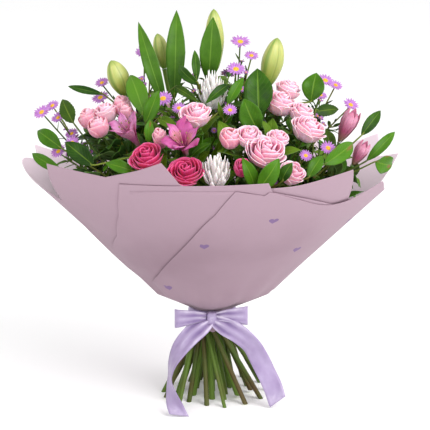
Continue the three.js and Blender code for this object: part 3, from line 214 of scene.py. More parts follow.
# Small daisy heads on each aster stem: their middle and width.
DAISIES = {
    "aster_left": (((-216, -10, 379), 22), ((-203, -2, 386), 18), ((-194, -22, 374), 18),
                   ((-178, -14, 352), 18), ((-174, -58, 349), 20), ((-192, -48, 336), 20)),
    "aster_upper_left": (((-86, 0, 455), 22), ((-78, -18, 441), 17), ((-140, 6, 414), 18),
                         ((-142, 0, 396), 22)),
    "aster_middle": (((-60, -66, 406), 24), ((-40, -88, 398), 17), ((22, -102, 398), 17)),
    "aster_top": (((36, 10, 466), 24), ((50, 4, 449), 18), ((30, -30, 437), 24)),
    "aster_right": (((144, 0, 418), 22), ((158, 12, 410), 18), ((137, -16, 402), 17), ((176, -8, 388), 20)),
    "aster_front": (((141, -106, 352), 20), ((113, -122, 346), 16), ((66, -166, 330), 18)),
    "aster_back": (((-30, 110, 404), 22), ((22, 96, 412), 22), ((-8, 82, 424), 18), ((44, 140, 378), 20)),
}

# Leaves that stand out: kind, foot, tip, width.
LEAVES = (
    ("lily", (-48, -6, 398), (-43, 30, 506), 25),
    ("lily", (-60, -30, 392), (-99, 5, 491), 20),
    ("lily", (-4, -8, 418), (1, -2, 500), 28),
    ("lily", (0, 40, 412), (-8, 54, 470), 14),
    ("lily", (-78, -66, 390), (-99, -25, 436), 26),
    ("lily", (-19, -34, 424), (-20, -16, 461), 11),
    ("lily", (-12, -45, 412), (-36, -22, 450), 14),
    ("lily", (-128, -5, 411), (-187, 8, 402), 10),
    ("lily", (-132, -2, 416), (-165, 18, 421), 11),
    ("lily", (60, 0, 405), (30, 30, 450), 22),
    ("broad", (58, -78, 387), (56, -48, 443), 36),
    ("broad", (52, -112, 377), (34, -94, 408), 28),
    ("broad", (112, -58, 392), (121, -22, 432), 28),
    ("broad", (22, -58, 420), (-8, -84, 401), 12),
    ("broad", (19, -82, 402), (38, -60, 434), 13),
    ("broad", (-80, -95, 381), (-64, -75, 415), 18),
    ("broad", (-76, -118, 362), (-76, -108, 389), 12),
    ("rose", (-65, -98, 388), (-36, -115, 376), 13),
    ("rose", (-46, -50, 419), (-15, -80, 406), 11),
    ("rose", (-176, -36, 366), (-196, -14, 392), 20),
    ("broad", (-187, -60, 343), (-221, -33, 361), 20),
    ("broad", (-190, -60, 322), (-224, -22, 325), 15),
    ("broad", (-143, -118, 334), (-180, -100, 359), 22),
    ("broad", (-162, -108, 331), (-125, -138, 334), 18),
    ("broad", (-92, -148, 338), (-128, -146, 338), 16),
    ("broad", (47, -172, 322), (40, -172, 351), 17),
    ("broad", (55, -176, 323), (76, -168, 349), 22),
    ("broad", (74, -170, 318), (86, -158, 342), 15),
    ("broad", (134, -122, 333), (182, -84, 358), 21),
    ("broad", (140, -108, 351), (154, -84, 373), 13),
    ("broad", (187, -48, 357), (214, -22, 385), 15),
    ("broad", (182, -65, 347), (203, -42, 368), 12),
    ("broad", (194, -50, 325), (235, -18, 356), 14),
    ("broad", (192, -58, 324), (238, -34, 320), 25),
    ("broad", (112, -148, 328), (134, -122, 346), 16),
    ("rose", (128, -58, 389), (160, -38, 389), 16),
    ("rose", (66, -98, 374), (96, -104, 371), 12),
    ("broad", (40, -14, 424), (57, 22, 449), 24),
)

# ---------------------------------------------------------------- small helpers

MM = 0.001
TURN = 2 * math.pi
UP = np.array((0.0, 0.0, 1.0))


def vec(*values):
    return np.array(values, float)


def long(a):
    return math.sqrt(a @ a)


def unit(a):
    return a / long(a)


def unit_rows(rows):
    return rows / np.linalg.norm(rows, axis=1)[:, None]


def square_to(direction, axis):
    return unit(direction - axis * (direction @ axis))


def sides(axis):
    """Two directions square to an axis and to each other."""
    first = square_to(vec(1, 0, 0) if abs(axis[0]) < 0.9 else vec(0, 1, 0), axis)
    return first, np.cross(axis, first)


def lerp(low, high, share):
    return (1 - share) * low + share * high


def circle(count):
    """Angles spread evenly over a full turn."""
    return np.linspace(0, TURN, count, endpoint=False)


def hump(along, start, run):
    """Part of a half wave: it begins a share of the way into the wave, and runs over a share of it."""
    return np.sin(math.pi * np.clip(start + run * along, 0, 1))


def stream(seed):
    """A repeatable stream of numbers from 0 to 1, the same as the solids use."""
    state = seed

    def draw():
        nonlocal state
        state = (state * 1664525 + 1013904223) % 4294967296
        return state / 4294967296

    return draw


def jitter(size, random):
    """A random number of a total range, around 0."""
    return size * (random() - 0.5)


def scatter(random):
    return vec(random() - 0.5, random() - 0.5, random() - 0.5)


def around(p):
    return math.degrees(math.atan2(p[0], -p[1]))


def swing(start, start_way, end, end_way, t, pull):
    """A curve from one point and direction to another."""
    k = long(start - end) * pull
    return (
        start * (2 * t**3 - 3 * t**2 + 1)
        + start_way * (k * (t**3 - 2 * t**2 + t))
        + end * (3 * t**2 - 2 * t**3)
        + end_way * (k * (t**3 - t**2))
    )


# ---------------------------------------------------------------- keeping clear


class Blocks:
    """Capsules that the stems, flowers and leaves placed so far take up."""

    def __init__(self):
        self.a, self.b, self.radius, self.node, self.head = [], [], [], [], []
        self.table = None

    def add(self, node, a, b, radius, head=-1):
        self.a.append(a)
        self.b.append(b)
        self.radius.append(radius)
        self.node.append(node)
        self.head.append(head)
        self.table = None

    def arrays(self):
        if self.table is None:
            a, b, radius = np.array(self.a, float), np.array(self.b, float), np.array(self.radius, float)
            reach = radius[:, None]
            low, high = np.minimum(a, b) - reach, np.maximum(a, b) + reach
            self.table = a, b, radius, np.array(self.node), np.array(self.head), low, high
        return self.table

    def clear(self, points, margin, node=None, head=None):
        """True where every point keeps its margin to everything that isn't passed over."""
        a, b, radius, nodes, heads, low, high = self.arrays()
        points = np.array(points, float)
        near = (low <= points.max(0) + margin).all(1) & (high >= points.min(0) - margin).all(1)
        if node is not None:
            near &= nodes != node
        if head is not None:
            near &= heads != head
        if not near.any():
            return True
        a, run, radius = a[near], (b - a)[near], radius[near]
        square = (run * run).sum(1)
        off = points[:, None] - a
        share = np.clip((off * run).sum(2) / np.where(square > 0, square, 1), 0, 1)
        gap = np.linalg.norm(off - run * share[:, :, None], axis=2)
        return bool((gap >= radius + margin).all())


blocks = Blocks()


def dome_reach(p):
    """Under 1 inside the mass of flowers."""
    return math.hypot(p[0] / DOME[0], p[1] / DOME[1], (p[2] - DOME_CENTRE_HEIGHT) / DOME[2])


# ---------------------------------------------------------------- stems and stalks

TIE = vec(0, 0, TIE_HEIGHT)
UPRIGHT = {"lily": 0, "rose": 0.05, "bud": 0.2, "chrysanthemum": 0.6, "closed": 0.4, "daisy": 0.5}
DAISY_TURN = 0.9
BACK_FROM = 40                  # daisies further back than this face the back


def head_axis(kind, at):
    middle = vec(*at)
    if kind in UPRIGHT:
        axis = unit(middle - TIE) + UP * UPRIGHT[kind]
        if kind == "daisy":
            axis[1] += DAISY_TURN if middle[1] > BACK_FROM else -DAISY_TURN
        return unit(axis)
    return unit(middle - vec(0, 0, FACING_HEIGHT))


class Head:
    """What a stem or a stalk leads to: a bloom, by its number, or a daisy, which has none."""

    def __init__(self, kind, at, width, seat, key=None):
        self.kind, self.width, self.key = kind, width, key
        self.at = vec(*at)
        self.axis = head_axis(kind, at)
        self.end = self.at - self.axis * seat


class Stem:
    def __init__(self, name, kind, diameter, fork):
        self.name, self.kind, self.diameter = name, kind, diameter
        self.stalks, self.leaves, self.key = [], [], None
        self.heads = [
            Head(bloom.kind, bloom.at, bloom.width, bloom.height / 2, key)
            for key, bloom in enumerate(BLOOMS)
            if bloom.stem == name
        ]
        self.heads += [Head("daisy", at, width, DAISY_SEAT) for at, width in DAISIES.get(name, ())]
        if isinstance(fork, tuple):
            self.end = vec(*fork)
        elif fork == 1:
            self.axis, self.key = self.heads[0].axis, self.heads[0].key
            self.end = self.heads[0].end - self.axis * STALK_SHORT
            return
        else:
            self.end = lerp(TIE, sum(head.end for head in self.heads) / len(self.heads), fork)
        self.axis = unit(self.end - TIE)


def outline_reach(stem, way):
    angle = math.atan2(way[1], way[0])
    step = TURN / STEM_SIDES
    return stem.diameter / 2 * math.cos(angle - step * round(angle / step))


PACKING_STEP = 0.02


def place_in_tie(stems):
    """Gives every stem its place in the tie: upright ones inside, leaning ones outside."""
    def lean(stem):
        return math.acos((stem.end - TIE) @ UP / long(stem.end - TIE))

    ordered = sorted(stems, key=lean)
    placed = []
    for count in RINGS:
        ring, ordered = sorted(ordered[:count], key=lambda stem: around(stem.end)), ordered[count:]
        step = 360 / count
        offs = [math.radians(around(stem.end) - SPIRAL_LEAD - k * step) for k, stem in enumerate(ring)]
        turn = math.atan2(sum(map(math.sin, offs)), sum(map(math.cos, offs)))
        for k, stem in enumerate(ring):
            angle = turn + math.radians(k * step)
            way = vec(math.sin(angle), -math.cos(angle), 0)
            stem.place = vec(0, 0, 0)
            while not all(has_room(stem, other) for other in placed):
                stem.place = stem.place + way * PACKING_STEP
            placed.append(stem)


def has_room(stem, other):
    there = other.place - stem.place
    return long(there) >= outline_reach(stem, there) + outline_reach(other, -there) + GAP


cuts = stream(SEEDS["cuts"])
SHORTER_SHARE = 0.3
SHORTER = (1, 5)
STEM_TRIES = 80
FIRST_SEED = 411                # each stem's own random draws start at this plus its place
STEM_PUSH = 0.9
MIDWAY = 16
CURVE_STOPS = (0.25, 0.5, 0.75, 1)
SLOW_TAPER, FAST_TAPER = 0.8, 0.6       # radius at a stem's end over its radius at the tie
LINE_MARGIN = 0.6
LINE_STEP = 4


def bundle_point(place, z):
    run = SPIRAL * (z - TIE_HEIGHT)
    return vec(place[0] - run * place[1], place[1] + run * place[0], z)


def is_line_clear(path, radius, node, head=None):
    points = []
    for a, b in zip(path, path[1:]):
        steps = math.ceil(long(a - b) / LINE_STEP)
        points += [a + (b - a) * (k / steps) for k in range(steps + 1)]
    return blocks.clear(points, radius + LINE_MARGIN, node, head)


def route_stem(stem):
    """The stem's line: its foot, the end of its straight part, and the curve that scene pieces follow."""
    is_shorter = long(stem.place) > 0 and cuts() < SHORTER_SHARE
    low = bundle_point(stem.place, lerp(*SHORTER, cuts()) if is_shorter else 0)
    high = bundle_point(stem.place, STRAIGHT_TOP)
    way = unit(high - low)
    pushes = stream(FIRST_SEED + math.floor(stem.end[0] + 0.5))
    for attempt in range(STEM_TRIES):
        push = vec(pushes() - 0.5, pushes() - 0.5, 0) * (attempt * STEM_PUSH)

        def curve(t):
            line = swing(high, way, stem.end, stem.axis, t, CURVE_PULL)
            return line + push * (MIDWAY * t * t * (1 - t) ** 2)

        stem.path = [low, high, *map(curve, CURVE_STOPS)]
        if is_line_clear(stem.path[1:], stem.diameter / 2, stem.name, stem.key):
            break
    stem.curve = curve
    taper = SLOW_TAPER if stem.kind in ("lily", "chrysanthemum") else FAST_TAPER
    stem.radii = [stem.diameter / 2 * (1 - (1 - taper) * share) for share in (0, 0, *CURVE_STOPS)]
    for a, b, radius in zip(stem.path, stem.path[1:], stem.radii):
        blocks.add(stem.name, a, b, radius)


STALK_TRIES = 60
STALK_PUSH = 0.7
STALK_PULL = 0.7
STALK_RADIUS = {"rose": 1.3, "bud": 1.3, "closed": 1.4, "daisy": 0.9}
FORK_SPREAD = 0.9


def route_stalk(stem, start, head, radius, random):
    """A thin stalk from a stem's fork to a head."""
    end = head.end - head.axis * STALK_SHORT
    for attempt in range(STALK_TRIES):
        push = scatter(random) * (attempt * STALK_PUSH)
        path = [start, swing(start, stem.axis, end, head.axis, 0.5, STALK_PULL) + push, end]
        if is_line_clear(path, radius, stem.name, head.key):
            return path
    raise ValueError(stem.name + " has no way to a head")


# What each kind of bloom takes up: ends along its axis over its height, and radius over its width.
BLOOM_CAPSULES = {
    "lily": ((-0.35, 0.2, 0.5), (0, 0.5, 0.18)),
    "alstroemeria": ((0.26, 0.4, 0.5), (-0.45, 0, 0.24)),
    "chrysanthemum": ((-0.05, 0.2, 0.48), (-0.4, 0, 0.3)),
    "closed": ((-0.35, 0.5, 0.48),),
    "rose": ((0, 0, 0.5),),
    "bud": ((-0.12, 0.12, 0.5),),
}
DAISY_CLEARANCE = 0.5


def grow_plants():
    stems = [Stem(*row) for row in STEMS]
    place_in_tie(stems)
    for key, bloom in enumerate(BLOOMS):
        axis = head_axis(bloom.kind, bloom.at)
        for low, high, share in BLOOM_CAPSULES[bloom.kind]:
            ends = [vec(*bloom.at) + axis * part * bloom.height for part in (low, high)]
            blocks.add(bloom.node, *ends, share * bloom.width, key)
    for name, daisies in DAISIES.items():
        for at, width in daisies:
            blocks.add(name, vec(*at), vec(*at), DAISY_CLEARANCE * width)
    for stem in stems:
        route_stem(stem)
    random = stream(SEEDS["stalks"])
    for stem in stems:
        forked = stem.heads if len(stem.heads) > 1 else []
        before, last = stem.path[-2:]
        for k, head in enumerate(forked):
            radius = STALK_RADIUS[head.kind]
            start = last + (before - last) * (FORK_SPREAD * k / len(forked))
            path = route_stalk(stem, start, head, radius, random)
            stem.stalks.append((path, radius, head))
            for a, b in zip(path, path[1:]):
                blocks.add(stem.name, a, b, radius)
    return stems


# ---------------------------------------------------------------- where the leaves are

LEAF_SHAPES = {
    "broad": ((0, 0), (0.3, 0.92), (0.66, 0.86), (1, 0)),
    "rose": ((0, 0), (0.3, 0.95), (0.66, 0.72), (1, 0)),
    "lily": ((0, 0), (0.2, 0.7), (0.5, 1), (0.8, 0.62), (1, 0)),
}
LEAF_FOLD = 0.22                # how far the edges rise, over the half width
LEAF_STOPS = (0.12, 0.27, 0.42, 0.57, 0.72, 0.86, 1)
LEAF_MARGIN = 3.2
LEAF_CORE = 2.4
CORE_STOPS = (0.05, 0.28, 0.52, 0.76, 0.97)
CORE_LANES = (-0.62, 0, 0.62)
PAPER_MARGIN = 5


class Leaf:
    """A leaf of the plan, from its foot to its tip; root is where its petiole leaves the stem."""

    def __init__(self, kind, foot, tip, width, facing, bend, small=False):
        self.kind, self.foot, self.width, self.bend, self.small = kind, foot, width, bend, small
        self.way = unit(tip - foot)
        self.up = square_to(facing, self.way)
        self.side = np.cross(self.up, self.way)
        self.length = long(foot - tip)
        self.root = None

    def point(self, along, across, half):
        arch = 4 * along * (1 - along) * self.bend * self.length
        lift = arch + abs(across) * half * LEAF_FOLD
        return self.foot + self.way * (along * self.length) + self.side * (across * half) + self.up * lift

    def half(self, along):
        return float(np.interp(along, *zip(*LEAF_SHAPES[self.kind]))) * self.width / 2

    def is_clear(self, margin=LEAF_MARGIN):
        samples = []
        for along in LEAF_STOPS:
            half = self.half(along)
            across = (-1, -0.5, 0, 0.5, 1) if half > 2 * LEAF_MARGIN else (-1, 0, 1)
            samples += [self.point(along, u, half) for u in across]
        points = np.array(samples)
        above = points[:, 2] - PAPER_FLARE - np.hypot(points[:, 0], points[:, 1] / PAPER_FLATTENING)
        return bool((above > PAPER_MARGIN).all()) and blocks.clear(points, margin)

    def grow(self, stem, root, core=LEAF_CORE):
        """Gives the leaf to a stem, and blocks the room that its blade takes up."""
        self.root = root
        stem.leaves.append(self)
        for lane in CORE_LANES:
            line = [self.point(along, lane, self.half(along)) for along in CORE_STOPS]
            for a, b in zip(line, line[1:]):
                blocks.add(stem.name, a, b, core)


CARRIER_STOPS = (0.15, 0.5, 0.85)
CARRIER_CHOICES = 24
FOLIAGE_LIKING = 0.6
AHEAD_COST, AHEAD_GAIN = 1.5, 0.7


class Carriers:
    """The places on the stems that may carry a leaf of a kind."""

    def __init__(self, stems, kind):
        self.stems, at, way, liking = [], [], [], []
        for stem in stems:
            if stem.kind != "lily" if kind == "lily" else stem.kind in ("aster", "lily"):
                continue
            for line in [stem.path[2:]] + [path for path, _, _ in stem.stalks]:
                for a, b in zip(line, line[1:]):
                    for t in CARRIER_STOPS:
                        self.stems.append(stem)
                        at.append(a + (b - a) * t)
                        way.append(unit(b - a))
                        liking.append(FOLIAGE_LIKING if stem.kind == "foliage" else 1)
        self.at, self.way, self.liking = np.array(at), np.array(way), np.array(liking)

    def nearest(self, foot):
        """The nearest places, with those that lie behind the leaf first."""
        reach = foot - self.at
        far = np.linalg.norm(reach, axis=1)
        ahead = (reach * self.way).sum(1) / (far + 1)
        cost = self.liking * far * (AHEAD_COST - AHEAD_GAIN * ahead)
        for k in np.argsort(cost, kind="stable")[:CARRIER_CHOICES]:
            yield self.stems[k], self.at[k]


TWIG_RADIUS = 1.2
SHORTEST_PETIOLE = 4
STEEPEST_PETIOLE = 0.72
LEAF_STRAY = 0.5
LEAF_TILT = 0.04
LEAST_BEND, BEND_RANGE = 0.04, 0.08


def place_leaf(carriers, kind, foot, tip, width, facing, random, tries=1):
    """Puts a leaf on the nearest stem that it can reach, moving it a little until nothing is in its way."""
    for attempt in range(tries):
        new_foot = foot + scatter(random) * (attempt * LEAF_STRAY)
        new_tip = tip + scatter(random) * (attempt * LEAF_STRAY)
        turned = facing + scatter(random) * (attempt * LEAF_STRAY) * LEAF_TILT
        bend = LEAST_BEND + BEND_RANGE * random()
        leaf = Leaf(kind, new_foot, new_tip, width, turned, bend)
        if not leaf.is_clear():
            continue
        for stem, at in carriers.nearest(new_foot):
            petiole = new_foot - at
            is_steep = abs(petiole @ leaf.up) > STEEPEST_PETIOLE * long(petiole)
            if is_steep or petiole @ leaf.way < 0 or long(petiole) < SHORTEST_PETIOLE:
                continue
            if is_line_clear([at, new_foot], TWIG_RADIUS, stem.name):
                leaf.grow(stem, at)
                blocks.add(stem.name, at, new_foot, TWIG_RADIUS)
                return


OWN_LEAVES = 3                  # of each stem without a flower
OWN_TRIES = 400
OWN_FROM = 0.3                  # how far along the stem's last stretches they start
OWN_STRAY = 1.6                 # how far their petioles stray from the stem's way
OWN_TURN = 4                    # and how far the leaves turn away from their petioles
OWN_PETIOLE = (6, 16)
OWN_LENGTH = (26, 44)
OWN_SLIMNESS = 0.44             # width over length


def dress_stem(stem, random):
    """Gives a stem without a flower leaves of its own near its end."""
    carriers = Carriers([stem], "broad")
    end, earlier = stem.path[-1], stem.path[-3]
    for _ in range(OWN_TRIES):
        if len(stem.leaves) >= OWN_LEAVES:
            return
        start = earlier + (end - earlier) * lerp(OWN_FROM, 1, random())
        sideways = scatter(random)
        foot = start + unit(stem.axis + sideways * OWN_STRAY) * lerp(*OWN_PETIOLE, random())
        length = lerp(*OWN_LENGTH, random())
        tip = foot + unit(foot - start + sideways * OWN_TURN) * length
        facing = stem.axis + scatter(random)
        place_leaf(carriers, "broad", foot, tip, OWN_SLIMNESS * length, facing, random)


FILLING_LEAVES = 30
FILLING_TRIES = 2600
FILLING_LEAN = 50               # degrees from upright, at most
FILLING_FEET = (225, 285)       # distance of their feet from the tie
FILLING_LENGTH = (34, 60)
FILLING_SLIMNESS = {"broad": (0.36, 0.46), "rose": (0.34, 0.42)}
FILLING_STRAY = 1.7             # how far they stray from the way out
FILLING_TILT = 1.2              # and how far they tilt
BROAD_SHARE = 0.65
IN_DOME = (0.82, 1.05)


def leaf_count(stems):
    return sum(len(stem.leaves) for stem in stems)


def fill_with_leaves(stems):
    """Fills the gaps between the flowers with leaves, as far as nothing is in the way."""
    random = stream(SEEDS["filling"])
    carriers = {kind: Carriers(stems, kind) for kind in FILLING_SLIMNESS}
    full = leaf_count(stems) + FILLING_LEAVES
    for _ in range(FILLING_TRIES):
        if leaf_count(stems) >= full:
            return
        turn = math.radians(360 * random())
        lean = math.radians(FILLING_LEAN * math.sqrt(random()))
        way = vec(math.sin(lean) * math.sin(turn), -math.sin(lean) * math.cos(turn), math.cos(lean))
        foot = TIE + way * lerp(*FILLING_FEET, random())
        kind = "broad" if random() < BROAD_SHARE else "rose"
        length = lerp(*FILLING_LENGTH, random())
        tip = foot + unit(way + scatter(random) * FILLING_STRAY) * length
        width = length * lerp(*FILLING_SLIMNESS[kind], random())
        facing = way + scatter(random) * FILLING_TILT
        if IN_DOME[0] <= dome_reach(tip) <= IN_DOME[1]:
            place_leaf(carriers[kind], kind, foot, tip, width, facing, random)


FRONT = vec(0, -1, 0.35)
LEAF_TRIES = 60


def plan_plants():
    stems = grow_plants()
    random = stream(SEEDS["leaves"])
    carriers = {kind: Carriers(stems, kind) for kind in LEAF_SHAPES}
    for kind, foot, tip, width in LEAVES:
        place_leaf(carriers[kind], kind, vec(*foot), vec(*tip), width, FRONT, random, LEAF_TRIES)
    for stem in stems:
        if stem.kind == "foliage":
            dress_stem(stem, random)
    fill_with_leaves(stems)
    return stems


UNDERGROWTH = 840               # small leaves that only the scene has, low between the flowers
UNDERGROWTH_TRIES = 30000
UNDERGROWTH_MARGIN = 0.3
UNDERGROWTH_CORE = 0.8
UNDERGROWTH_REACH = (0.6, 1.0)
STEM_FROM, STALK_FROM, GREEN_TO = 0.35, 0.1, 0.95       # the stretch of a stem or a stalk that carries it
LINE_WEIGHTS = {"lily": 1, "foliage": 6}                # how often a stem is chosen
OTHER_WEIGHT = 3
SMALL_PETIOLE = (4, 10)
SMALL_LENGTH = (24, 44)
SMALL_SLIMNESS = (0.42, 0.56)   # width over length
SMALL_BEND = (0.04, 0.16)
SMALL_TILT = 0.9
ASTER_SIZE = 0.55               # of small leaves on an aster's stalks, over the others
ASTER_SLIMNESS = 0.3            # of small leaves anywhere on an aster
TOUCHING = -0.3                 # radius kept clear round a small petiole: it may cut into a neighbour


def bent(path, t):
    """A point of the curve through a stalk's three points."""
    control = 2 * path[1] - (path[0] + path[2]) / 2
    return path[0] * (1 - t) ** 2 + 2 * control * t * (1 - t) + path[2] * t**2


def add_undergrowth(stems):
    random = stream(SEEDS["undergrowth"])
    lines = []
    for stem in stems:
        size = ASTER_SIZE if stem.kind == "aster" else 1
        lines += [(stem, stem.curve, STEM_FROM, 1)] * LINE_WEIGHTS.get(stem.kind, OTHER_WEIGHT)
        lines += [(stem, lambda t, path=path: bent(path, t), STALK_FROM, size) for path, _, _ in stem.stalks]
    full = leaf_count(stems) + UNDERGROWTH
    for _ in range(UNDERGROWTH_TRIES):
        if leaf_count(stems) >= full:
            return
        stem, line, low, size = lines[int(random() * len(lines))]
        at = lerp(low, GREEN_TO, random())
        root = line(at)
        way = unit(line(at + 0.02) - line(at - 0.02))
        out = square_to(scatter(random), way)
        foot = root + unit(way + out * 1.2) * lerp(*SMALL_PETIOLE, random()) * size
        kind = "broad" if random() < 0.5 and stem.kind != "aster" else "rose"
        length = lerp(*SMALL_LENGTH, random()) * size
        tip = foot + unit(way * 0.5 + out + UP * 0.25 + scatter(random) * 0.8) * length
        facing = unit(tip - TIE) + scatter(random) * SMALL_TILT
        slimness = ASTER_SLIMNESS if stem.kind == "aster" else lerp(*SMALL_SLIMNESS, random())
        bend = lerp(*SMALL_BEND, random())
        if not UNDERGROWTH_REACH[0] <= dome_reach(tip) <= UNDERGROWTH_REACH[1]:
            continue
        leaf = Leaf(kind, foot, tip, length * slimness, facing, bend, small=True)
        if leaf.is_clear(UNDERGROWTH_MARGIN) and is_line_clear([root, foot], TOUCHING, stem.name):
            leaf.grow(stem, root, UNDERGROWTH_CORE)


# ---------------------------------------------------------------- building meshes


class Shape:
    """The points, faces, texture places and finishes of one piece, in millimetres."""

    def __init__(self):
        self.points, self.places, self.faces, self.finishes = [], [], [], []
        self.count = 0

    def add(self, points, places, faces, finish):
        start = self.count
        self.points.append(np.reshape(points, (-1, 3)))
        self.places.append(np.reshape(places, (-1, 2)))
        self.count += len(self.points[-1])
        self.faces += [tuple(start + k for k in face) for face in faces]
        self.finishes += [finish] * len(faces)

    def surface(self, points, places, finish):
        """A net of rows and columns, with its last column joined to the first."""
        rows, columns = points.shape[:2]
        faces = []
        for r in range(rows - 1):
            for c in range(columns):
                n = (c + 1) % columns
                faces.append((r * columns + c, r * columns + n, (r + 1) * columns + n, (r + 1) * columns + c))
        self.add(points, places, faces, finish)

    def turned(self, place, outline, count, finish):
        """A round surface from its radii and their heights along an axis."""
        turns, even = circle(count), np.ones(count)
        rings = [place.round(radius * even, turns, lift * even) for radius, lift in outline]
        self.surface(np.array(rings), np.full((len(rings), count, 2), 0.5), finish)

    def blade(self, points, places, finish, thickness, back=None):
        """A net with a thickness: two faces and a rim."""
        rows, columns = points.shape[:2]
        normal = normals(points) * (thickness / 2)
        both = np.concatenate([(points + normal).reshape(-1, 3), (points - normal).reshape(-1, 3)])
        half = rows * columns
        front, reverse = [], []
        for r in range(rows - 1):
            for c in range(columns - 1):
                a = r * columns + c
                front.append((a, a + 1, a + columns + 1, a + columns))
                reverse.append(tuple(half + k for k in front[-1][::-1]))
        rim = [*range(columns), *range(2 * columns - 1, half, columns)]
        rim += [*range(half - 2, half - columns - 1, -1), *range(half - 2 * columns, 0, -columns)]
        edge = [(b, a, half + a, half + b) for a, b in zip(rim, rim[1:] + rim[:1])]
        start = self.count
        self.add(both, np.concatenate([places.reshape(-1, 2)] * 2), front + edge, finish)
        self.faces += [tuple(start + k for k in face) for face in reverse]
        self.finishes += [back or finish] * len(reverse)

    def tube(self, path, radii, count, finish, level_foot=False, cut=None):
        """A round stalk along points, with closed ends."""
        path = np.array(path)
        ways = unit_rows(np.gradient(path, axis=0))
        first = sides(ways[0])[0]
        if level_foot:
            ways[0] = UP
        turns = circle(count)
        rings = []
        for p, way, radius in zip(path, ways, radii):
            first = square_to(first, way)
            ring = np.outer(np.cos(turns), first) + np.outer(np.sin(turns), np.cross(way, first))
            rings.append(p + ring * radius)
        rings = np.array(rings)
        places = np.stack(np.meshgrid(turns / TURN, np.linspace(0, 1, len(path))), axis=2)
        self.surface(rings, places, finish)
        self.add(rings[0], places[0], [tuple(range(count))[::-1]], cut or finish)
        self.add(rings[-1], places[-1], [tuple(range(count))], finish)

    def piece(self, name, node):
        """Makes the Blender object, which rides on the root and stands for a node."""
        mesh = bpy.data.meshes.new(name)
        points = np.concatenate(self.points) * MM
        mesh.from_pydata(points.tolist(), [], self.faces)
        used = sorted(set(self.finishes))
        for finish in used:
            mesh.materials.append(FINISHES[finish])
        mesh.polygons.foreach_set("material_index", [used.index(finish) for finish in self.finishes])
        mesh.polygons.foreach_set("use_smooth", [True] * len(self.faces))
        corners = np.empty(len(mesh.loops), dtype=np.int32)
        mesh.loops.foreach_get("vertex_index", corners)
        layer = mesh.uv_layers.new(name="place")
        layer.data.foreach_set("uv", np.concatenate(self.places)[corners].astype(np.float32).ravel())
        thing = bpy.data.objects.new(name, mesh)
        bpy.context.scene.collection.objects.link(thing)
        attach(thing, "root")
        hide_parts(node)
        return thing


def normals(points):
    """The normal at each point of a net; where the net comes to a point it keeps its neighbour's."""
    normal = np.cross(np.gradient(points, axis=1), np.gradient(points, axis=0))
    size = np.linalg.norm(normal, axis=2)
    weak = size < 1e-9
    normal[~weak] /= size[~weak][:, None]
    for row, near in ((0, 1), (-1, -2)):
        normal[row][weak[row]] = normal[near][weak[row]]
    return normal


def net(rows, columns):
    """Along from 0 to 1 and across from -1 to 1, as rows and columns, and their texture places."""
    across, along = np.meshgrid(np.linspace(-1, 1, columns), np.linspace(0, 1, rows))
    return along, across, np.stack([(across + 1) / 2, along], axis=2)


def smooth_line(points, count):
    """A curve through points, of a number of points spread evenly over its stretches."""
    points = np.array(points, float)
    padded = np.concatenate([[2 * points[0] - points[1]], points, [2 * points[-1] - points[-2]]])
    result = []
    for at in np.linspace(0, len(points) - 1, count):
        k = min(int(at), len(points) - 2)
        t = at - k
        a, b, c, d = padded[k : k + 4]
        bow = (2 * a - 5 * b + 4 * c - d) * t**2 + (3 * b - a - 3 * c + d) * t**3
        result.append(0.5 * (2 * b + (c - a) * t + bow))
    return np.array(result)


class Place:
    """Where a bloom sits: its base, its axis and two directions square to it."""

    def __init__(self, base, axis):
        self.base, self.axis = base, axis
        self.right, self.deep = sides(axis)

    def round(self, radius, angle, lift):
        """Points from a distance from the axis, an angle round it and a height along it."""
        return (
            self.base
            + (radius * np.cos(angle))[..., None] * self.right
            + (radius * np.sin(angle))[..., None] * self.deep
            + lift[..., None] * self.axis
        )

    def beside(self, radius, angle, sideways, lift):
        """Points beside a line that runs out from the axis at an angle."""
        return self.round(radius, angle + sideways / radius, lift)


# ---------------------------------------------------------------- roses

PETAL_THICKNESS = 0.5

# The layers of petals from the outside in: how many, crown radius over the width, height over the height,
# how far the rim curls out (over the width), and how far it closes in.
ROSE_LAYERS = {
    "openRose": ((5, 0.5, 0.73, 0.09, 0), (5, 0.46, 0.83, 0.05, 0), (5, 0.37, 0.9, 0.03, 0.04),
                 (4, 0.27, 0.95, 0.01, 0.14), (3, 0.17, 0.99, 0, 0.25), (2, 0.09, 1, 0, 0.3)),
    "rose": ((5, 0.5, 0.74, 0.08, 0), (4, 0.43, 0.86, 0.04, 0.02), (4, 0.32, 0.94, 0.01, 0.12),
             (3, 0.21, 0.98, 0, 0.25), (2, 0.11, 1, 0, 0.3)),
    "bud": ((4, 0.5, 0.8, 0.04, 0.24), (3, 0.43, 0.92, 0.01, 0.44), (3, 0.3, 1, 0, 0.56)),
}
HEART_FROM = 2                  # the layer from which the petals have the deeper colour
LAYER_TURN = 2.4                # from one layer to the next, in radians
PETAL_NET = (11, 11)
PETAL_CROWDING = 0.8            # under 1, the rows of a petal lie closer towards its rim
PETAL_SPAN = 1.62               # width of a petal over its share of the way round
PETAL_FOOT = 0.06               # radius of its foot, over the width
PETAL_TUCK = 0.085              # how far one side of a petal stands out over the next, over the width
PETAL_RUFFLE = 0.022
RUFFLE_WAVES = 3.2
BUD_STILLNESS = 0.7             # tuck and ruffle in a bud, over those in a rose
CLOSING_FROM = 0.35             # how high up a petal starts to close in
RIM_FROM = 0.66                 # and to curl out


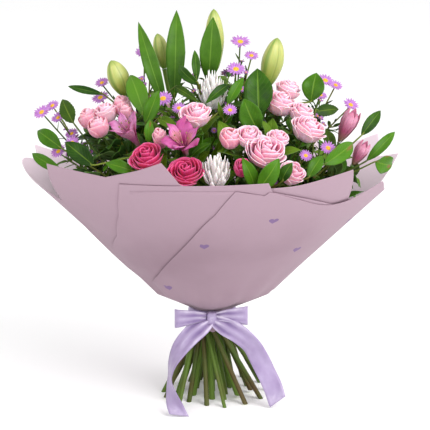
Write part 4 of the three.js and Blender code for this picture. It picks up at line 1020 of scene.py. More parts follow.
def add_rose(shape, place, kind, width, height, finish, random):
    form = "openRose" if kind == "rose" and width > LARGE_ROSE else kind
    still = BUD_STILLNESS if kind == "bud" else 1
    along, across, places = net(*PETAL_NET)
    along = along**PETAL_CROWDING
    spread = 0.4 + 0.6 * hump(along, 0.06, 0.66) ** 0.8
    reach = along * (1 - (0.1 * across**2 + 0.16 * across**4) * along)
    bowl = np.sin(math.pi / 2 * np.clip(reach * 1.14, 0, 1))
    rim = np.clip((reach - RIM_FROM) / (1 - RIM_FROM), 0, 1)
    start = TURN * random()
    for layer, (count, crown, top, curl, closing) in enumerate(ROSE_LAYERS[form]):
        tone = finish + "Heart" if layer >= HEART_FROM and kind == "rose" else finish
        inward = closing * np.clip((reach - CLOSING_FROM) / (1 - CLOSING_FROM), 0, 1) ** 2
        for k in range(count):
            middle = start + TURN * (k + jitter(0.25, random)) / count + layer * LAYER_TURN
            span = PETAL_SPAN * math.pi / count * (0.92 + 0.16 * random())
            swell = 1 + jitter(0.07, random)
            rise = 1 + jitter(0.08, random)
            ruffle = still * PETAL_RUFFLE * width * np.sin(RUFFLE_WAVES * across + TURN * random()) * rim
            radius = width * (PETAL_FOOT + (crown - PETAL_FOOT) * bowl * (1 - inward)) * swell
            radius = radius + width * (curl * rim**2 + still * PETAL_TUCK * across * reach) + ruffle
            lift = height * top * rise * (1 - np.cos(math.pi / 2 * reach) ** 1.15)
            lift = lift - width * curl * 0.9 * rim**2 + 0.6 * ruffle + height * 0.02 * layer * (1 - along)
            petal = place.round(radius, middle + span * across * spread, lift)
            shape.blade(petal, places, tone, PETAL_THICKNESS)


HIP_OUTLINE = ((1.3, -2.6), (2.4, -1.8), (3.1, -0.6), (2.9, 0.2))       # radius and height
HIP_ROUND = 8
SEPAL_NET = (6, 3)
SEPAL_COUNT = 5
SEPAL_SHARE = 0.4               # length of a sepal over the rose's width
SEPAL_HALF = 0.16               # half width over the length
SEPAL_THICKNESS = 0.4
SEPAL_FOOT = 1.6                # from the axis
SEPAL_HANG = (1, 2.2)           # least, and how much more at most


def add_calyx(shape, head, random):
    """The green cup under a rose, with its five sepals."""
    place = Place(head.end, head.axis)
    shape.turned(place, HIP_OUTLINE, HIP_ROUND, "stem")
    along, across, places = net(*SEPAL_NET)
    for k in range(SEPAL_COUNT):
        middle = TURN * (k + 0.3 * random()) / SEPAL_COUNT
        length = SEPAL_SHARE * head.width * (0.9 + 0.2 * random())
        half = SEPAL_HALF * length * hump(along, 0.12, 0.88) + 0.1
        hang = SEPAL_HANG[0] + SEPAL_HANG[1] * random()
        lift = -0.8 + 0.8 * np.sin(math.pi * along) - hang * along**2
        sepal = place.beside(SEPAL_FOOT + length * along * 0.92, middle, across * half, lift)
        shape.blade(sepal, places, "sepal", SEPAL_THICKNESS)


# ---------------------------------------------------------------- asters

RAYS = ((17, 1.08, 0.0), (15, 0.9, 0.5))        # each row: how many, length, shift from the row before
RAY_NET = (5, 3)
RAY_HALF = 0.062                # half width of a ray over the width
RAY_THICKNESS = 0.3
DISC_SHARE = 0.17               # radius of the disc over the width
DISC_ROUND = 12
# Share of the disc's radius, and height.
DISC_OUTLINE = ((0.9, 0.3), (1.02, 1.3), (0.8, 2.2), (0.45, 2.7), (0.05, 2.85))
LEAST_OPENING, OPENING_RANGE = 0.2, 1.3


def add_daisy(shape, at, axis, width, random):
    """A small aster: two rows of rays round a domed disc, over a green cup."""
    place = Place(at, axis)
    disc = DISC_SHARE * width
    cup = ((0.9, -4.2), (0.7 * disc, -2.4), (disc, 0.2), (1.05 * disc, 0.9))
    shape.turned(place, [(share * disc, lift) for share, lift in DISC_OUTLINE], DISC_ROUND, "disc")
    shape.turned(place, cup, DISC_ROUND, "sepal")
    along, across, places = net(*RAY_NET)
    half = RAY_HALF * width * hump(along, 0.2, 0.74) ** 0.7
    root = 0.6 * disc
    opening = LEAST_OPENING + OPENING_RANGE * random()
    for count, share, shift in RAYS:
        for k in range(count):
            middle = TURN * (k + shift + jitter(0.35, random)) / count
            length = (width / 2 - root) * share * (0.9 + 0.14 * random())
            tip = opening * (random() - 0.25) * 1.6
            lift = 0.9 + shift * 0.8 + 1.1 * np.sin(math.pi * 0.6 * along) + tip * along**2
            ray = place.beside(root + length * along, middle, across * half, lift - 0.25 * across**2)
            shape.blade(ray, places, "ray", RAY_THICKNESS)


# ---------------------------------------------------------------- chrysanthemums

# Rings of quills from the outside in: how many, radius over the width, height over the height.
QUILL_RINGS = ((10, 0.5, 0.42), (11, 0.5, 0.6), (10, 0.43, 0.76), (8, 0.32, 0.88), (6, 0.2, 0.96),
               (4, 0.08, 1))
QUILL_NET = (8, 3)
QUILL_OUTLINE = ((0, 0.4), (0.2, 0.66), (0.5, 1), (0.72, 0.86), (0.9, 0.46), (1, 0.04))
QUILL_HALF = 3.9
QUILL_ROOT = 1.2                # from the axis
QUILL_CUPPING = 1.2             # how far its sides fold in
QUILL_THICKNESS = 0.5


def add_chrysanthemum(shape, place, width, height, random):
    along, across, places = net(*QUILL_NET)
    half = QUILL_HALF * np.interp(along, *zip(*QUILL_OUTLINE))
    cupping = QUILL_CUPPING * across**2 * np.sin(math.pi * np.clip(along, 0.1, 0.9))
    for layer, (count, far, high) in enumerate(QUILL_RINGS):
        for k in range(count):
            middle = TURN * (k + 0.5 * layer + jitter(0.9, random)) / count
            reach = far * width * (0.76 + 0.32 * random())
            top = min(high * (0.84 + 0.22 * random()), 1) * height
            bulge = np.sin(math.pi / 2 * along * (1.12 - 0.2 * random())) ** 0.85
            radius = QUILL_ROOT + (reach - QUILL_ROOT) * np.clip(bulge, 0, 1.1)
            lift = 0.06 * height * layer * (1 - along) + top * (0.25 * along + 0.75 * along**1.7)
            angle = middle + jitter(0.12, random) * along + across * half / np.maximum(radius, 3)
            quill = place.round(radius - cupping, angle, lift + 0.5 * cupping)
            shape.blade(quill, places, "quill", QUILL_THICKNESS)


# ---------------------------------------------------------------- alstroemerias

TEPAL_NET = (10, 7)
TEPAL_OUTLINE = ((0, 0.2), (0.25, 0.3), (0.5, 0.62), (0.72, 1), (0.86, 0.92), (0.95, 0.55), (1, 0.08))
TEPAL_THICKNESS = 0.5
# The outer and the inner three: turn, half width and flare over the width, height over the height.
TEPAL_ROWS = ((0, 0.3, 0.42, 0.9), (math.pi / 3, 0.2, 0.38, 1))
CLOSED_NET = (9, 5)
CLOSED_WIDTHS = ((0, 0.4), (0.3, 0.8), (0.7, 1), (0.92, 0.6), (1, 0.1))
CLOSED_RADII = ((0, 0.08), (0.3, 0.3), (0.66, 0.45), (0.88, 0.38), (1, 0.3))
CLOSED_SPAN = 0.62              # half the angle that a closed tepal takes up
STAMENS = 6
STAMEN_RADIUS = 0.35


def add_tepal(shape, place, width, height, middle, row, finish, random):
    turn, half, flare, top = row
    along, across, places = net(*TEPAL_NET)
    radius = width * (0.05 + 0.08 * along + flare * along**2.6)
    droop = width * 0.16 * flare * np.clip(along - 0.75, 0, 1) ** 1.5 * 4
    wave = 0.05 * np.sin(4 * across + 6 * random()) + 0.04 * np.sin(9 * along + 6 * random()) * across
    wave = width * wave * along**2
    sideways = across * np.interp(along, *zip(*TEPAL_OUTLINE)) * half * width
    channel = 0.22 * np.abs(sideways) * (1 - 0.6 * along)
    angle = middle + turn + np.arctan2(sideways, radius + 1)
    lift = height * top * (along**0.85) - droop + 0.3 * channel + wave
    tepal = place.round(np.hypot(radius, sideways) - channel + wave, angle, lift)
    shape.blade(tepal, places, finish, TEPAL_THICKNESS)


def add_alstroemeria(shape, place, width, height, random, finishes):
    start = TURN * random()
    for k in range(3):
        for row, finish in zip(TEPAL_ROWS, finishes):
            add_tepal(shape, place, width, height, start + TURN * k / 3, row, finish, random)
    along = np.linspace(0, 1, 8)
    for k in range(STAMENS):
        turn = np.full(8, start + TURN * (k + 0.4) / STAMENS)
        path = place.round(width * (0.03 + 0.16 * along**2), turn, height * (0.2 + 0.62 * along))
        shape.tube(path, [STAMEN_RADIUS] * 8, 5, "stamen")
        knob = [path[-1] - place.axis * 0.8, path[-1], path[-1] + place.axis * 1.6]
        shape.tube(knob, [0.5, 1.1, 0.4], 6, "anther")


def add_closed_alstroemeria(shape, place, width, height, random):
    along, across, places = net(*CLOSED_NET)
    wide = np.interp(along, *zip(*CLOSED_WIDTHS))
    outline = width * np.interp(along, *zip(*CLOSED_RADII))
    for k in range(6):
        middle = TURN * (k + 0.3 * random()) / 6
        inner = k % 2
        radius = outline - 0.05 * width * inner + width * 0.08 * along**3 * random()
        lift = height * (along + 0.02 * inner) * (0.92 + 0.08 * random())
        tepal = place.round(radius, middle + across * wide * CLOSED_SPAN, lift)
        shape.blade(tepal, places, "closed", TEPAL_THICKNESS)


# ---------------------------------------------------------------- lily buds

LILY_OUTLINE = ((0.24, 0), (0.62, 0.13), (0.93, 0.36), (1, 0.58), (0.72, 0.82), (0.34, 0.95), (0.03, 1))
LILY_RIB = 0.07
LILY_SEAM = 0.05
SEAM_WIDTH = 0.004              # square of a seam's width, over a third of the way round
LILY_ROUND = 36
LILY_RINGS = 22


def add_lily_bud(shape, place, width, height):
    share, lift = smooth_line(LILY_OUTLINE, LILY_RINGS).T
    turns = circle(LILY_ROUND)
    seams = np.exp(-((np.mod(3 * turns / TURN + 0.5, 1) - 0.5) ** 2) / SEAM_WIDTH)
    ribbed = 1 + LILY_RIB * np.cos(3 * turns) - LILY_SEAM * np.roll(seams, LILY_ROUND // 6)
    angle = np.tile(turns, (LILY_RINGS, 1))
    lift = np.outer(lift, np.ones(LILY_ROUND))
    points = place.round(np.outer(share * width / 2, ribbed), angle, lift * height)
    shape.surface(points, np.stack([angle / TURN, lift], axis=2), "lilyBud")


# ---------------------------------------------------------------- leaves

LEAF_OUTLINES = {
    "broad": ((0, 0.05), (0.06, 0.34), (0.15, 0.66), (0.3, 0.94), (0.45, 1.02), (0.6, 0.95), (0.75, 0.72),
              (0.87, 0.42), (0.95, 0.17), (1, 0)),
    "rose": ((0, 0.08), (0.06, 0.42), (0.15, 0.76), (0.3, 0.98), (0.45, 0.97), (0.6, 0.83), (0.75, 0.6),
             (0.88, 0.3), (1, 0)),
    "lily": ((0, 0.16), (0.1, 0.44), (0.2, 0.7), (0.35, 0.92), (0.5, 1), (0.65, 0.88), (0.8, 0.62),
             (0.92, 0.28), (1, 0)),
}
LEAF_NET = {"broad": (19, 9), "rose": (33, 9), "lily": (23, 9)}
SMALL_LEAF_NET = (12, 7)
TEETH = 11                      # along each side of a rose leaf
SERRATION = 0.13
LEAF_BLADE = 0.6
LEAF_WAVE = 0.05                # how far a leaf's edge waves, over its width
LEAF_WAVES = 1.6
LEAF_TWIST = 0.12
TIP_DROOP = 0.05                # how far a leaf's tip bends down, over its length
TIP_SWAY = 0.08                 # and how far to a side
PETIOLE_RADIUS = (1.3, 0.9)
PETIOLE_SAG = 0.4
PETIOLE_STOPS = 9
PETIOLE_RUN = (6, 0.2)          # how far it runs on under the leaf, at most and over the leaf's length


def add_leaf(shape, leaf, random):
    along, across, places = net(*(SMALL_LEAF_NET if leaf.small else LEAF_NET[leaf.kind]))
    half = np.interp(along, *zip(*LEAF_OUTLINES[leaf.kind])) * leaf.width / 2
    if leaf.kind == "rose" and not leaf.small:
        half = half * (1 + SERRATION * (np.mod(along * TEETH, 1) - 0.5) * np.abs(across) ** 3)
    wave = LEAF_WAVE * leaf.width * np.sin(TURN * (LEAF_WAVES * along + random())) * across * np.abs(across)
    twist = jitter(LEAF_TWIST, random) * along * across * half
    arch = 4 * along * (1 - along) * leaf.bend * leaf.length
    fold = LEAF_FOLD * half * (0.25 * np.abs(across) + 0.75 * across**2)
    lift = arch + fold + wave * (half > 1) + twist - TIP_DROOP * leaf.length * along**4
    sway = TIP_SWAY * leaf.length * (random() - 0.5) * along**2
    points = (
        leaf.foot
        + (along * leaf.length)[..., None] * leaf.way
        + (across * half + sway)[..., None] * leaf.side
        + lift[..., None] * leaf.up
    )
    shape.blade(points, places, leaf.kind + "Back", LEAF_BLADE, leaf.kind + "Leaf")
    joint = leaf.foot + leaf.way * min(PETIOLE_RUN[0], PETIOLE_RUN[1] * leaf.length) + leaf.up * arch[1, 0]
    middle = (leaf.root + leaf.foot) / 2 + leaf.up * PETIOLE_SAG
    path = smooth_line([leaf.root, middle, leaf.foot, joint], PETIOLE_STOPS)
    shape.tube(path, np.linspace(*PETIOLE_RADIUS, PETIOLE_STOPS), 6, "stem")


# ---------------------------------------------------------------- stems

STRAIGHT_STOPS = 8
CURVED_STOPS = 22
STALK_STOPS = 9
STEM_ROUND = 8
STALK_ROUND = 6
NODE_SHARE = 0.25               # share of a stem's stops that are swollen
NODE_SWELL = 0.1
FOOT_FLARE = 0.16               # how much thicker a stem's foot is than its top
STALK_FLARE = 1.2
STALK_END = 0.4                 # how far a stalk stops short of its head
CUP_RADIUS = {"chrysanthemum": 5, "lily": 3.6, "alstroemeria": 2.6, "closed": 2.6}
# Distance to the head, and share of the radius.
CUP_OUTLINE = ((3, 0.45), (1.6, 0.8), (0.5, 1), (GAP, 0.96))
CUP_ROUND = 10


def stem_line(stem):
    low, high = stem.path[:2]
    straight = [low + (high - low) * t for t in np.linspace(0, 1, STRAIGHT_STOPS, endpoint=False)]
    return np.array(straight + [high] + [stem.curve(t) for t in np.linspace(0, 1, CURVED_STOPS)[1:]])


def add_stem(shape, stem, random):
    line = stem_line(stem)
    share = np.concatenate([np.zeros(STRAIGHT_STOPS), np.linspace(0, 1, CURVED_STOPS)])
    radii = stem.radii[0] + (stem.radii[-1] - stem.radii[0]) * share
    bumps = np.array([1 + NODE_SWELL * (random() < NODE_SHARE) for _ in radii])
    radii = radii * (1 + FOOT_FLARE * np.clip(1 - line[:, 2] / TIE_HEIGHT, 0, 1))
    finish = {"lily": "lilyStem", "rose": "roseStem", "foliage": "woodyStem"}.get(stem.kind, "stem")
    shape.tube(line, radii * bumps, STEM_ROUND, finish, level_foot=True, cut="cut")
    for path, radius, head in stem.stalks:
        curve = np.array([bent(path, t) for t in np.linspace(0, 1, STALK_STOPS)])
        ends = np.array([*curve, head.end - head.axis * STALK_END])
        shape.tube(ends, np.linspace(radius * STALK_FLARE, radius, len(ends)), STALK_ROUND, "stem")
        if head.kind == "daisy":
            add_bracts(shape, curve, random)
    for head in stem.heads:
        add_seat(shape, head, random)
    for leaf in stem.leaves:
        add_leaf(shape, leaf, random)


def add_seat(shape, head, random):
    """What a stalk opens into: a calyx under a rose, a cup under the others, a whole small aster."""
    if head.kind == "daisy":
        add_daisy(shape, head.at, head.axis, head.width, random)
    elif head.kind in ("rose", "bud"):
        add_calyx(shape, head, random)
    else:
        path = [head.end - head.axis * back for back, _ in CUP_OUTLINE]
        shape.tube(path, [share * CUP_RADIUS[head.kind] for _, share in CUP_OUTLINE], CUP_ROUND, "sepal")


BRACT_NET = (6, 3)
BRACTS = range(1, 7)            # the points of an aster's stalk that have a narrow leaf
TWIGS = (3, 5)                  # and those that also have a twig with a half-open head
BRACT_HALF = 1.3
BRACT_THICKNESS = 0.3
BRACT_CURL = 1.5


def add_bracts(shape, curve, random):
    """Small narrow leaves and twigs along an aster's stalk."""
    along, across, places = net(*BRACT_NET)
    half = BRACT_HALF * hump(along, 0.15, 0.83)
    for k in BRACTS:
        way = unit(curve[k + 1] - curve[k])
        out = square_to(scatter(random), way)
        tip_way = unit(way + out * 1.1)
        side = unit(np.cross(tip_way, out))
        length = 10 + 9 * random()
        points = curve[k] + (along * length)[..., None] * tip_way + (across * half)[..., None] * side
        shape.blade(points + (along**2 * BRACT_CURL)[..., None] * out, places, "roseLeaf", BRACT_THICKNESS)
        if k in TWIGS:
            end = curve[k] + unit(way + out * 0.9) * (9 + 8 * random())
            middle = (curve[k] + end) / 2 + out * 1.5
            shape.tube(smooth_line([curve[k], middle, end], 6), [0.45] * 6, 5, "stem")
            add_daisy(shape, end, unit(way + out * 0.3 - vec(0, 0.4, 0)), 7 + 4 * random(), random)


# ---------------------------------------------------------------- the paper

PAPER_WAIST = ((100, 26), (121, 23.4), (146, 76))       # height and radius
PAPER_PITCH = 1.55              # from one sheet to the next, measured level
PAPER_MIDDLE = 0.55             # from a sheet's inner face in the solids to its middle
PAPER_THICKNESS = 0.45
WAIST_ROWS = (100, 103, 107, 111, 115, 119, 121, 125, 131, 138, 146)
WALL_ROWS = 25
WALL_CROWDING = 1.6             # over 1, the rows lie closer towards the edge
COLUMN_STEP = 1.5
GATHERS = 18                    # small folds round the waist
GATHER_STRAY = 0.6              # how unevenly they lie
GATHER_DEPTH = ((95, 0.15), (121, 0.15), (146, 1.4), (180, 0.6), (205, 0))
PANEL_WAVES = ((5, 1.3, 0.6), (9, 0.6, 2.1))    # count, depth, phase
WAVES_FROM, WAVES_RUN = 190, 120                # the height where they start, and how soon they are full
RIM_LIFT_REACH = 13             # how far below its edge a sheet starts to lean out
SHARP_CORNER = 2                # change of slope, in millimetres a degree, from which a corner stays sharp
SKIRT = (7, 2, 14)              # depth, middle and half width in degrees of the paper under the knot

# Each sheet: layer, its edge as degrees and height, and how far the edge leans out, by degrees.
SHEETS = {
    "paper_back": (
        0,
        ((15, 327), (23, 329), (30, 336), (37, 344), (42, 320), (47, 296), (60, 288), (80, 283), (90, 288),
         (100, 317), (110, 306), (120, 329), (130, 310), (150, 310), (160, 320), (170, 332), (180, 324),
         (200, 334), (210, 312), (240, 306), (250, 321), (256, 306), (266, 315), (282, 303), (300, 288),
         (310, 269), (320, 250)),
        ((15, 0), (92, 0), (98, 1), (290, 1), (300, 0)),
    ),
    "paper_left": (
        1,
        ((-72, 180), (-66, 212), (-58, 271), (-52, 305), (-43, 349), (-27, 339), (-17, 353), (-11, 365),
         (-8, 336), (0, 310)),
        ((-72, 2.4), (-43, 1.6), (-36, 0.8), (-13, 0.8), (-10, -0.5)),
    ),
    "paper_centre": (
        2,
        ((-60, 206), (-40, 246), (-31, 282), (-25, 322), (-24, 331), (14, 336), (16, 322), (30, 305),
         (50, 280)),
        ((-60, 0.9), (-25, 0.9), (-20, 0.3), (14, 0)),
    ),
    "paper_right": (
        3,
        ((-44, 172), (-30, 193), (-10, 243), (1, 291), (6, 326), (14, 318), (15, 323), (25, 308), (34, 296),
         (40, 293), (47, 296), (57, 314), (70, 292), (80, 286), (100, 284), (110, 292), (130, 300),
         (140, 294), (150, 272)),
        ((-44, 1.1), (5, 1.1), (12, 0.1), (50, 0.2), (150, 0.8)),
    ),
}
HEM = ((-25, 320), (-16, 324), (-8, 326), (6, 326))     # the folded edge on the centre sheet
HEM_DEPTH = 60
HEM_ROWS = 12
HEM_LIFT = 1.1
HEM_FADE = (-25, -19)           # the degrees over which it comes free of the sheet
# Each heart: degrees, height, layer.
HEARTS = ((20, 278, 3), (-3, 241, 3), (41, 224, 3), (-33, 166, 3), (68, 250, 3), (-62, 250, 0), (100, 200, 3))
HEART_SIZE = 6.5
HEART_SQUAT = 0.72              # height over width
HEART_LIFT = 0.2                # over the paper
HEART_POINTS = 24


def wrap_point(angle, z, out):
    """A point of the wrap: degrees round it, height, and distance outside its inner face."""
    heights, radii = zip(*PAPER_WAIST)
    radius = np.where(z < heights[-1], np.interp(z, heights, radii), z - PAPER_FLARE)
    depth = 1 - (1 - PAPER_FLATTENING) * np.clip((z - heights[1]) / (heights[2] - heights[1]), 0, 1)
    turn = np.radians(angle)
    waves = sum(high * np.sin(count * turn + phase) for count, high, phase in PANEL_WAVES)
    folds = np.interp(z, *zip(*GATHER_DEPTH)) * np.cos(GATHERS * turn + GATHER_STRAY * np.sin(3 * turn))
    r = radius + out + folds + waves * np.clip((z - WAVES_FROM) / WAVES_RUN, 0, 1)
    return np.stack([r * np.sin(turn), -r * np.cos(turn) * depth, z], axis=-1)


def sheet_middle(layer):
    return layer * PAPER_PITCH + PAPER_MIDDLE


def rim_lift(lean, angle, below):
    return np.interp(angle, *zip(*lean)) * np.exp(-below / RIM_LIFT_REACH)


def edge_height(edge, angle):
    """The height of a sheet's edge, which is a smooth curve between its sharp corners."""
    corners, heights = np.array(edge, float).T
    spans = np.diff(corners)
    slopes = np.diff(heights) / spans
    first, last = slopes.copy(), slopes.copy()
    is_gentle = np.abs(np.diff(slopes)) < SHARP_CORNER
    shared = ((slopes[1:] + slopes[:-1]) / 2)[is_gentle]
    first[1:][is_gentle] = shared
    last[:-1][is_gentle] = shared
    k = np.clip(np.searchsorted(corners, angle, side="right") - 1, 0, len(spans) - 1)
    t = (angle - corners[k]) / spans[k]
    rise = first[k] * (t**3 - 2 * t**2 + t) + last[k] * (t**3 - t**2)
    return heights[k] + (heights[k + 1] - heights[k]) * (3 * t**2 - 2 * t**3) + rise * spans[k]


def add_paper():
    for name, (layer, edge, lean) in SHEETS.items():
        corners = [corner for corner, _ in edge]
        grid = np.arange(math.ceil(corners[0]), corners[-1], COLUMN_STEP)
        angle = np.unique(np.concatenate([corners, grid]))
        top = edge_height(edge, angle)
        waist = np.array(WAIST_ROWS, float)[:, None]
        steps = (1 - (1 - np.linspace(0, 1, WALL_ROWS + 1)[1:]) ** WALL_CROWDING)[:, None]
        z = np.concatenate([np.tile(waist, len(angle)), waist[-1] + (top - waist[-1]) * steps])
        if name == "paper_right":
            z[0] -= SKIRT[0] * np.exp(-(((angle - SKIRT[1]) / SKIRT[2]) ** 2))
        out = sheet_middle(layer) + rim_lift(lean, angle, top - z)
        shape = Shape()
        add_wrapping(shape, angle, z, out, "paperInside")
        if name == "paper_centre":
            add_hem(shape, layer)
        for heart in HEARTS:
            if heart[2] == layer:
                add_heart(shape, *heart, lean, float(edge_height(edge, heart[0])))
        shape.piece(name + "_sheet", name)


def add_wrapping(shape, angle, z, out, inside):
    """A stretch of paper over the wrap, from its columns' angles and its points' heights."""
    angles = np.tile(angle, (len(z), 1))
    places = np.stack([angles / 360, z / 360], axis=2)
    shape.blade(wrap_point(angles, z, out), places, "paper", PAPER_THICKNESS, inside)


def add_hem(shape, layer):
    corners, tops = zip(*HEM)
    angle = np.arange(corners[0], corners[-1] + 0.1, 1.0)
    share = np.linspace(0, 1, HEM_ROWS)[:, None]
    z = np.interp(angle, corners, tops) - HEM_DEPTH * (1 - share)
    lift = HEM_LIFT * np.clip(share * 2.5, 0, 1) * np.interp(angle, HEM_FADE, (0, 1))
    add_wrapping(shape, angle, z, sheet_middle(layer) - 0.3 + lift, "paper")


def add_heart(shape, angle, z, layer, lean, top):
    turns = circle(HEART_POINTS)
    across = 16 * np.sin(turns) ** 3 / 17
    up = (13 * np.cos(turns) - 5 * np.cos(2 * turns) - 2 * np.cos(3 * turns) - np.cos(4 * turns)) / 17
    rings = []
    for share in (0.02, 0.5, 1):
        turn = angle + np.degrees(HEART_SIZE * share * across / (z - PAPER_FLARE))
        height = z + HEART_SIZE * share * (up + 0.1) * HEART_SQUAT
        out = sheet_middle(layer) + PAPER_THICKNESS / 2 + HEART_LIFT + rim_lift(lean, turn, top - height)
        rings.append(wrap_point(turn, height, out))
    shape.surface(np.array(rings), np.zeros((3, HEART_POINTS, 2)), "heart")


# ---------------------------------------------------------------- the ribbon

RIBBON_HALF = 12.5
RIBBON_LAYER = 4
BAND = (102, 121)
BAND_GAP = 0.95                 # from the inner face of the ribbon's layer to the middle of the band
BAND_CREASE = 0.25
KNOT = (0, -39, 115)
KNOT_HALF = (6.6, 8.8)
KNOT_OUTLINE = ((0.8, 8.1), (0.9, 7), (1, 4), (1.02, 0), (1, -3), (0.9, -5.4), (0.62, -6.8), (0.05, -7.2))
KNOT_ROUND = 32
KNOT_RINGS = 18
KNOT_CREASE = 0.045
SATIN_THICKNESS = 0.5
GATHERED = 0.6                  # width of a tail where it leaves the knot, over its full width

# Points along the middle of a strip from the knot on: its half width there for a loop, the way it lies across
# for a tail.
BOW = {
    "left": (((-6, -41, 117), 5), ((-24, -50, 119), 9), ((-43, -52, 118), 12), ((-48, -47, 117), 12.5),
             ((-42, -43, 116), 11), ((-24, -41, 116), 8), ((-5, -38, 116), 5)),
    "right": (((4, -41, 118), 5), ((22, -49.2, 121.5), 9), ((41, -52, 122), 12), ((46, -47, 121), 12.5),
              ((40, -43, 120), 11), ((22, -41, 118), 8), ((3, -38, 117), 5)),
}
TAILS = {
    "left": (((-3, -43, 112), (0.8, 0, -0.6)), ((-16, -49, 105), (0.8, -0.2, -0.6)),
             ((-30, -55, 93), (0.8, -0.4, -0.5)), ((-42, -60, 79), (0.7, -0.7, -0.3)),
             ((-51, -65, 62), (0.4, -0.9, 0)), ((-54, -71, 46), (0.2, -1, 0)),
             ((-52, -78, 31), (0.5, -0.85, 0)), ((-47, -88, 13), (0.9, -0.4, 0)),
             ((-42, -96, 2.8), (1, 0, -0.14))),
    "right": (((2, -43, 114), (0.55, 0, 0.83)), ((17, -50, 108), (0.55, 0.2, 0.8)),
              ((35, -55, 98), (0.6, 0, 0.8)), ((51, -56, 83), (0.8, -0.2, 0.55)),
              ((61, -55, 65), (0.9, 0, 0.43)), ((70, -55, 46), (0.86, 0.3, 0.4)),
              ((79, -59, 27), (0.9, 0.2, 0.42)), ((85, -66, 9.5), (0.79, 0, 0.61))),
}
STRIP_NET = (44, 9)
FOLD_DEPTH = 2.0                # of the folds that run along a strip out of the knot
FOLD_TURN = 2.2 * math.pi       # of their wave, from the middle of the strip to its edge
FOLD_PHASE = 0.8


def loop_folds(s):
    return np.abs(2 * s - 1) ** 2 * 0.8


def tail_folds(s):
    return np.clip(1 - 2.2 * s, 0, 1) + 0.12


def add_strip(name, centre, half, across, folds, finish):
    """A satin strip along a curve, creased lengthwise where it leaves the knot."""
    rows, columns = STRIP_NET
    line = smooth_line(centre, rows)
    half = smooth_line(half[:, None], rows)
    side = unit_rows(smooth_line(across, rows))
    normal = unit_rows(np.cross(np.gradient(line, axis=0), side))
    u = np.linspace(-1, 1, columns)
    crease = FOLD_DEPTH * folds(np.linspace(0, 1, rows))[:, None] * np.cos(FOLD_TURN * u + FOLD_PHASE)
    points = line[:, None] + side[:, None] * (half * u)[..., None] + normal[:, None] * crease[..., None]
    shape = Shape()
    shape.blade(points, net(rows, columns)[2], finish, SATIN_THICKNESS)
    piece = shape.piece(name, "ribbon")


def add_ribbon():
    add_knot()
    for side, line in BOW.items():
        centre, half = (np.array(values, float) for values in zip(*line))
        across = np.tile(UP, (len(line), 1))
        add_strip(f"ribbon_loop_{side}", centre, half, across, loop_folds, "ribbonLoop")
    for side, line in TAILS.items():
        centre, across = (np.array(values, float) for values in zip(*line))
        half = np.array([GATHERED * RIBBON_HALF] + [RIBBON_HALF] * (len(line) - 1))
        add_strip(f"ribbon_tail_{side}", centre, half, unit_rows(across), tail_folds, "ribbon")
    add_band()


def add_knot():
    """The knot: a turn of ribbon over the strips, pinched above and below."""
    turns = circle(KNOT_ROUND)
    square = 1 / (np.abs(np.cos(turns)) ** 4 + np.abs(np.sin(turns)) ** 4) ** 0.25
    rings = []
    for share, behind in smooth_line(KNOT_OUTLINE, KNOT_RINGS):
        creases = 1 + KNOT_CREASE * np.cos(7 * turns + behind * 0.3) * np.abs(np.sin(turns))
        x = KNOT_HALF[0] * share * np.cos(turns) * square * creases
        y = behind + 0.5 * np.cos(9 * turns) * share
        z = KNOT_HALF[1] * share * np.sin(turns) * square * creases
        rings.append(np.array(KNOT) + np.stack([x, y, z], axis=1))
    places = np.stack(np.meshgrid(turns / TURN, np.linspace(0, 1, len(rings))), axis=2)
    shape = Shape()
    shape.surface(np.array(rings), places, "ribbon")
    knot = shape.piece("ribbon_knot", "ribbon")


def add_band():
    """The band round the waist, with fine level creases."""
    angle, z = np.meshgrid(np.linspace(-180, 180, 97), np.linspace(*BAND, 9))
    turn = np.radians(angle)
    crease = BAND_CREASE * np.sin(z * 1.1 + 0.8 * np.sin(turn * 3))
    out = RIBBON_LAYER * PAPER_PITCH + BAND_GAP + crease
    heights, radii = zip(*PAPER_WAIST[:2])
    plain = np.interp(z, heights, radii)
    r = plain + out
    shape = Shape()
    points = np.stack([r * np.sin(turn), -r * np.cos(turn), z], axis=2)
    shape.blade(points, np.stack([angle / 360, z / 20], axis=2), "ribbon", SATIN_THICKNESS)
    band = shape.piece("ribbon_band", "ribbon")


# ---------------------------------------------------------------- making materials


def linear(red, green, blue):
    """A colour seen on a screen, 0 to 255, as light."""
    return tuple(((c / 255 + 0.055) / 1.055) ** 2.4 if c > 10 else c / 3295 for c in (red, green, blue))


def lit(*colours):
    return [linear(*colour) for colour in colours]


def toned(colour, share):
    return tuple(share * c for c in colour)


class Value:
    """A value that varies over a surface; arithmetic on it adds nodes to its material."""

    def __init__(self, finish, socket):
        self.finish, self.socket = finish, socket

    def __add__(self, other):
        return self.finish.math("ADD", self, other)

    def __sub__(self, other):
        return self.finish.math("SUBTRACT", self, other)

    def __rsub__(self, other):
        return self.finish.math("SUBTRACT", other, self)

    def __mul__(self, other):
        return self.finish.math("MULTIPLY", self, other)

    def __abs__(self):
        return self.finish.math("ABSOLUTE", self)


ISLAND_SHIFT = 40               # how far apart in the noise two petals or leaves lie


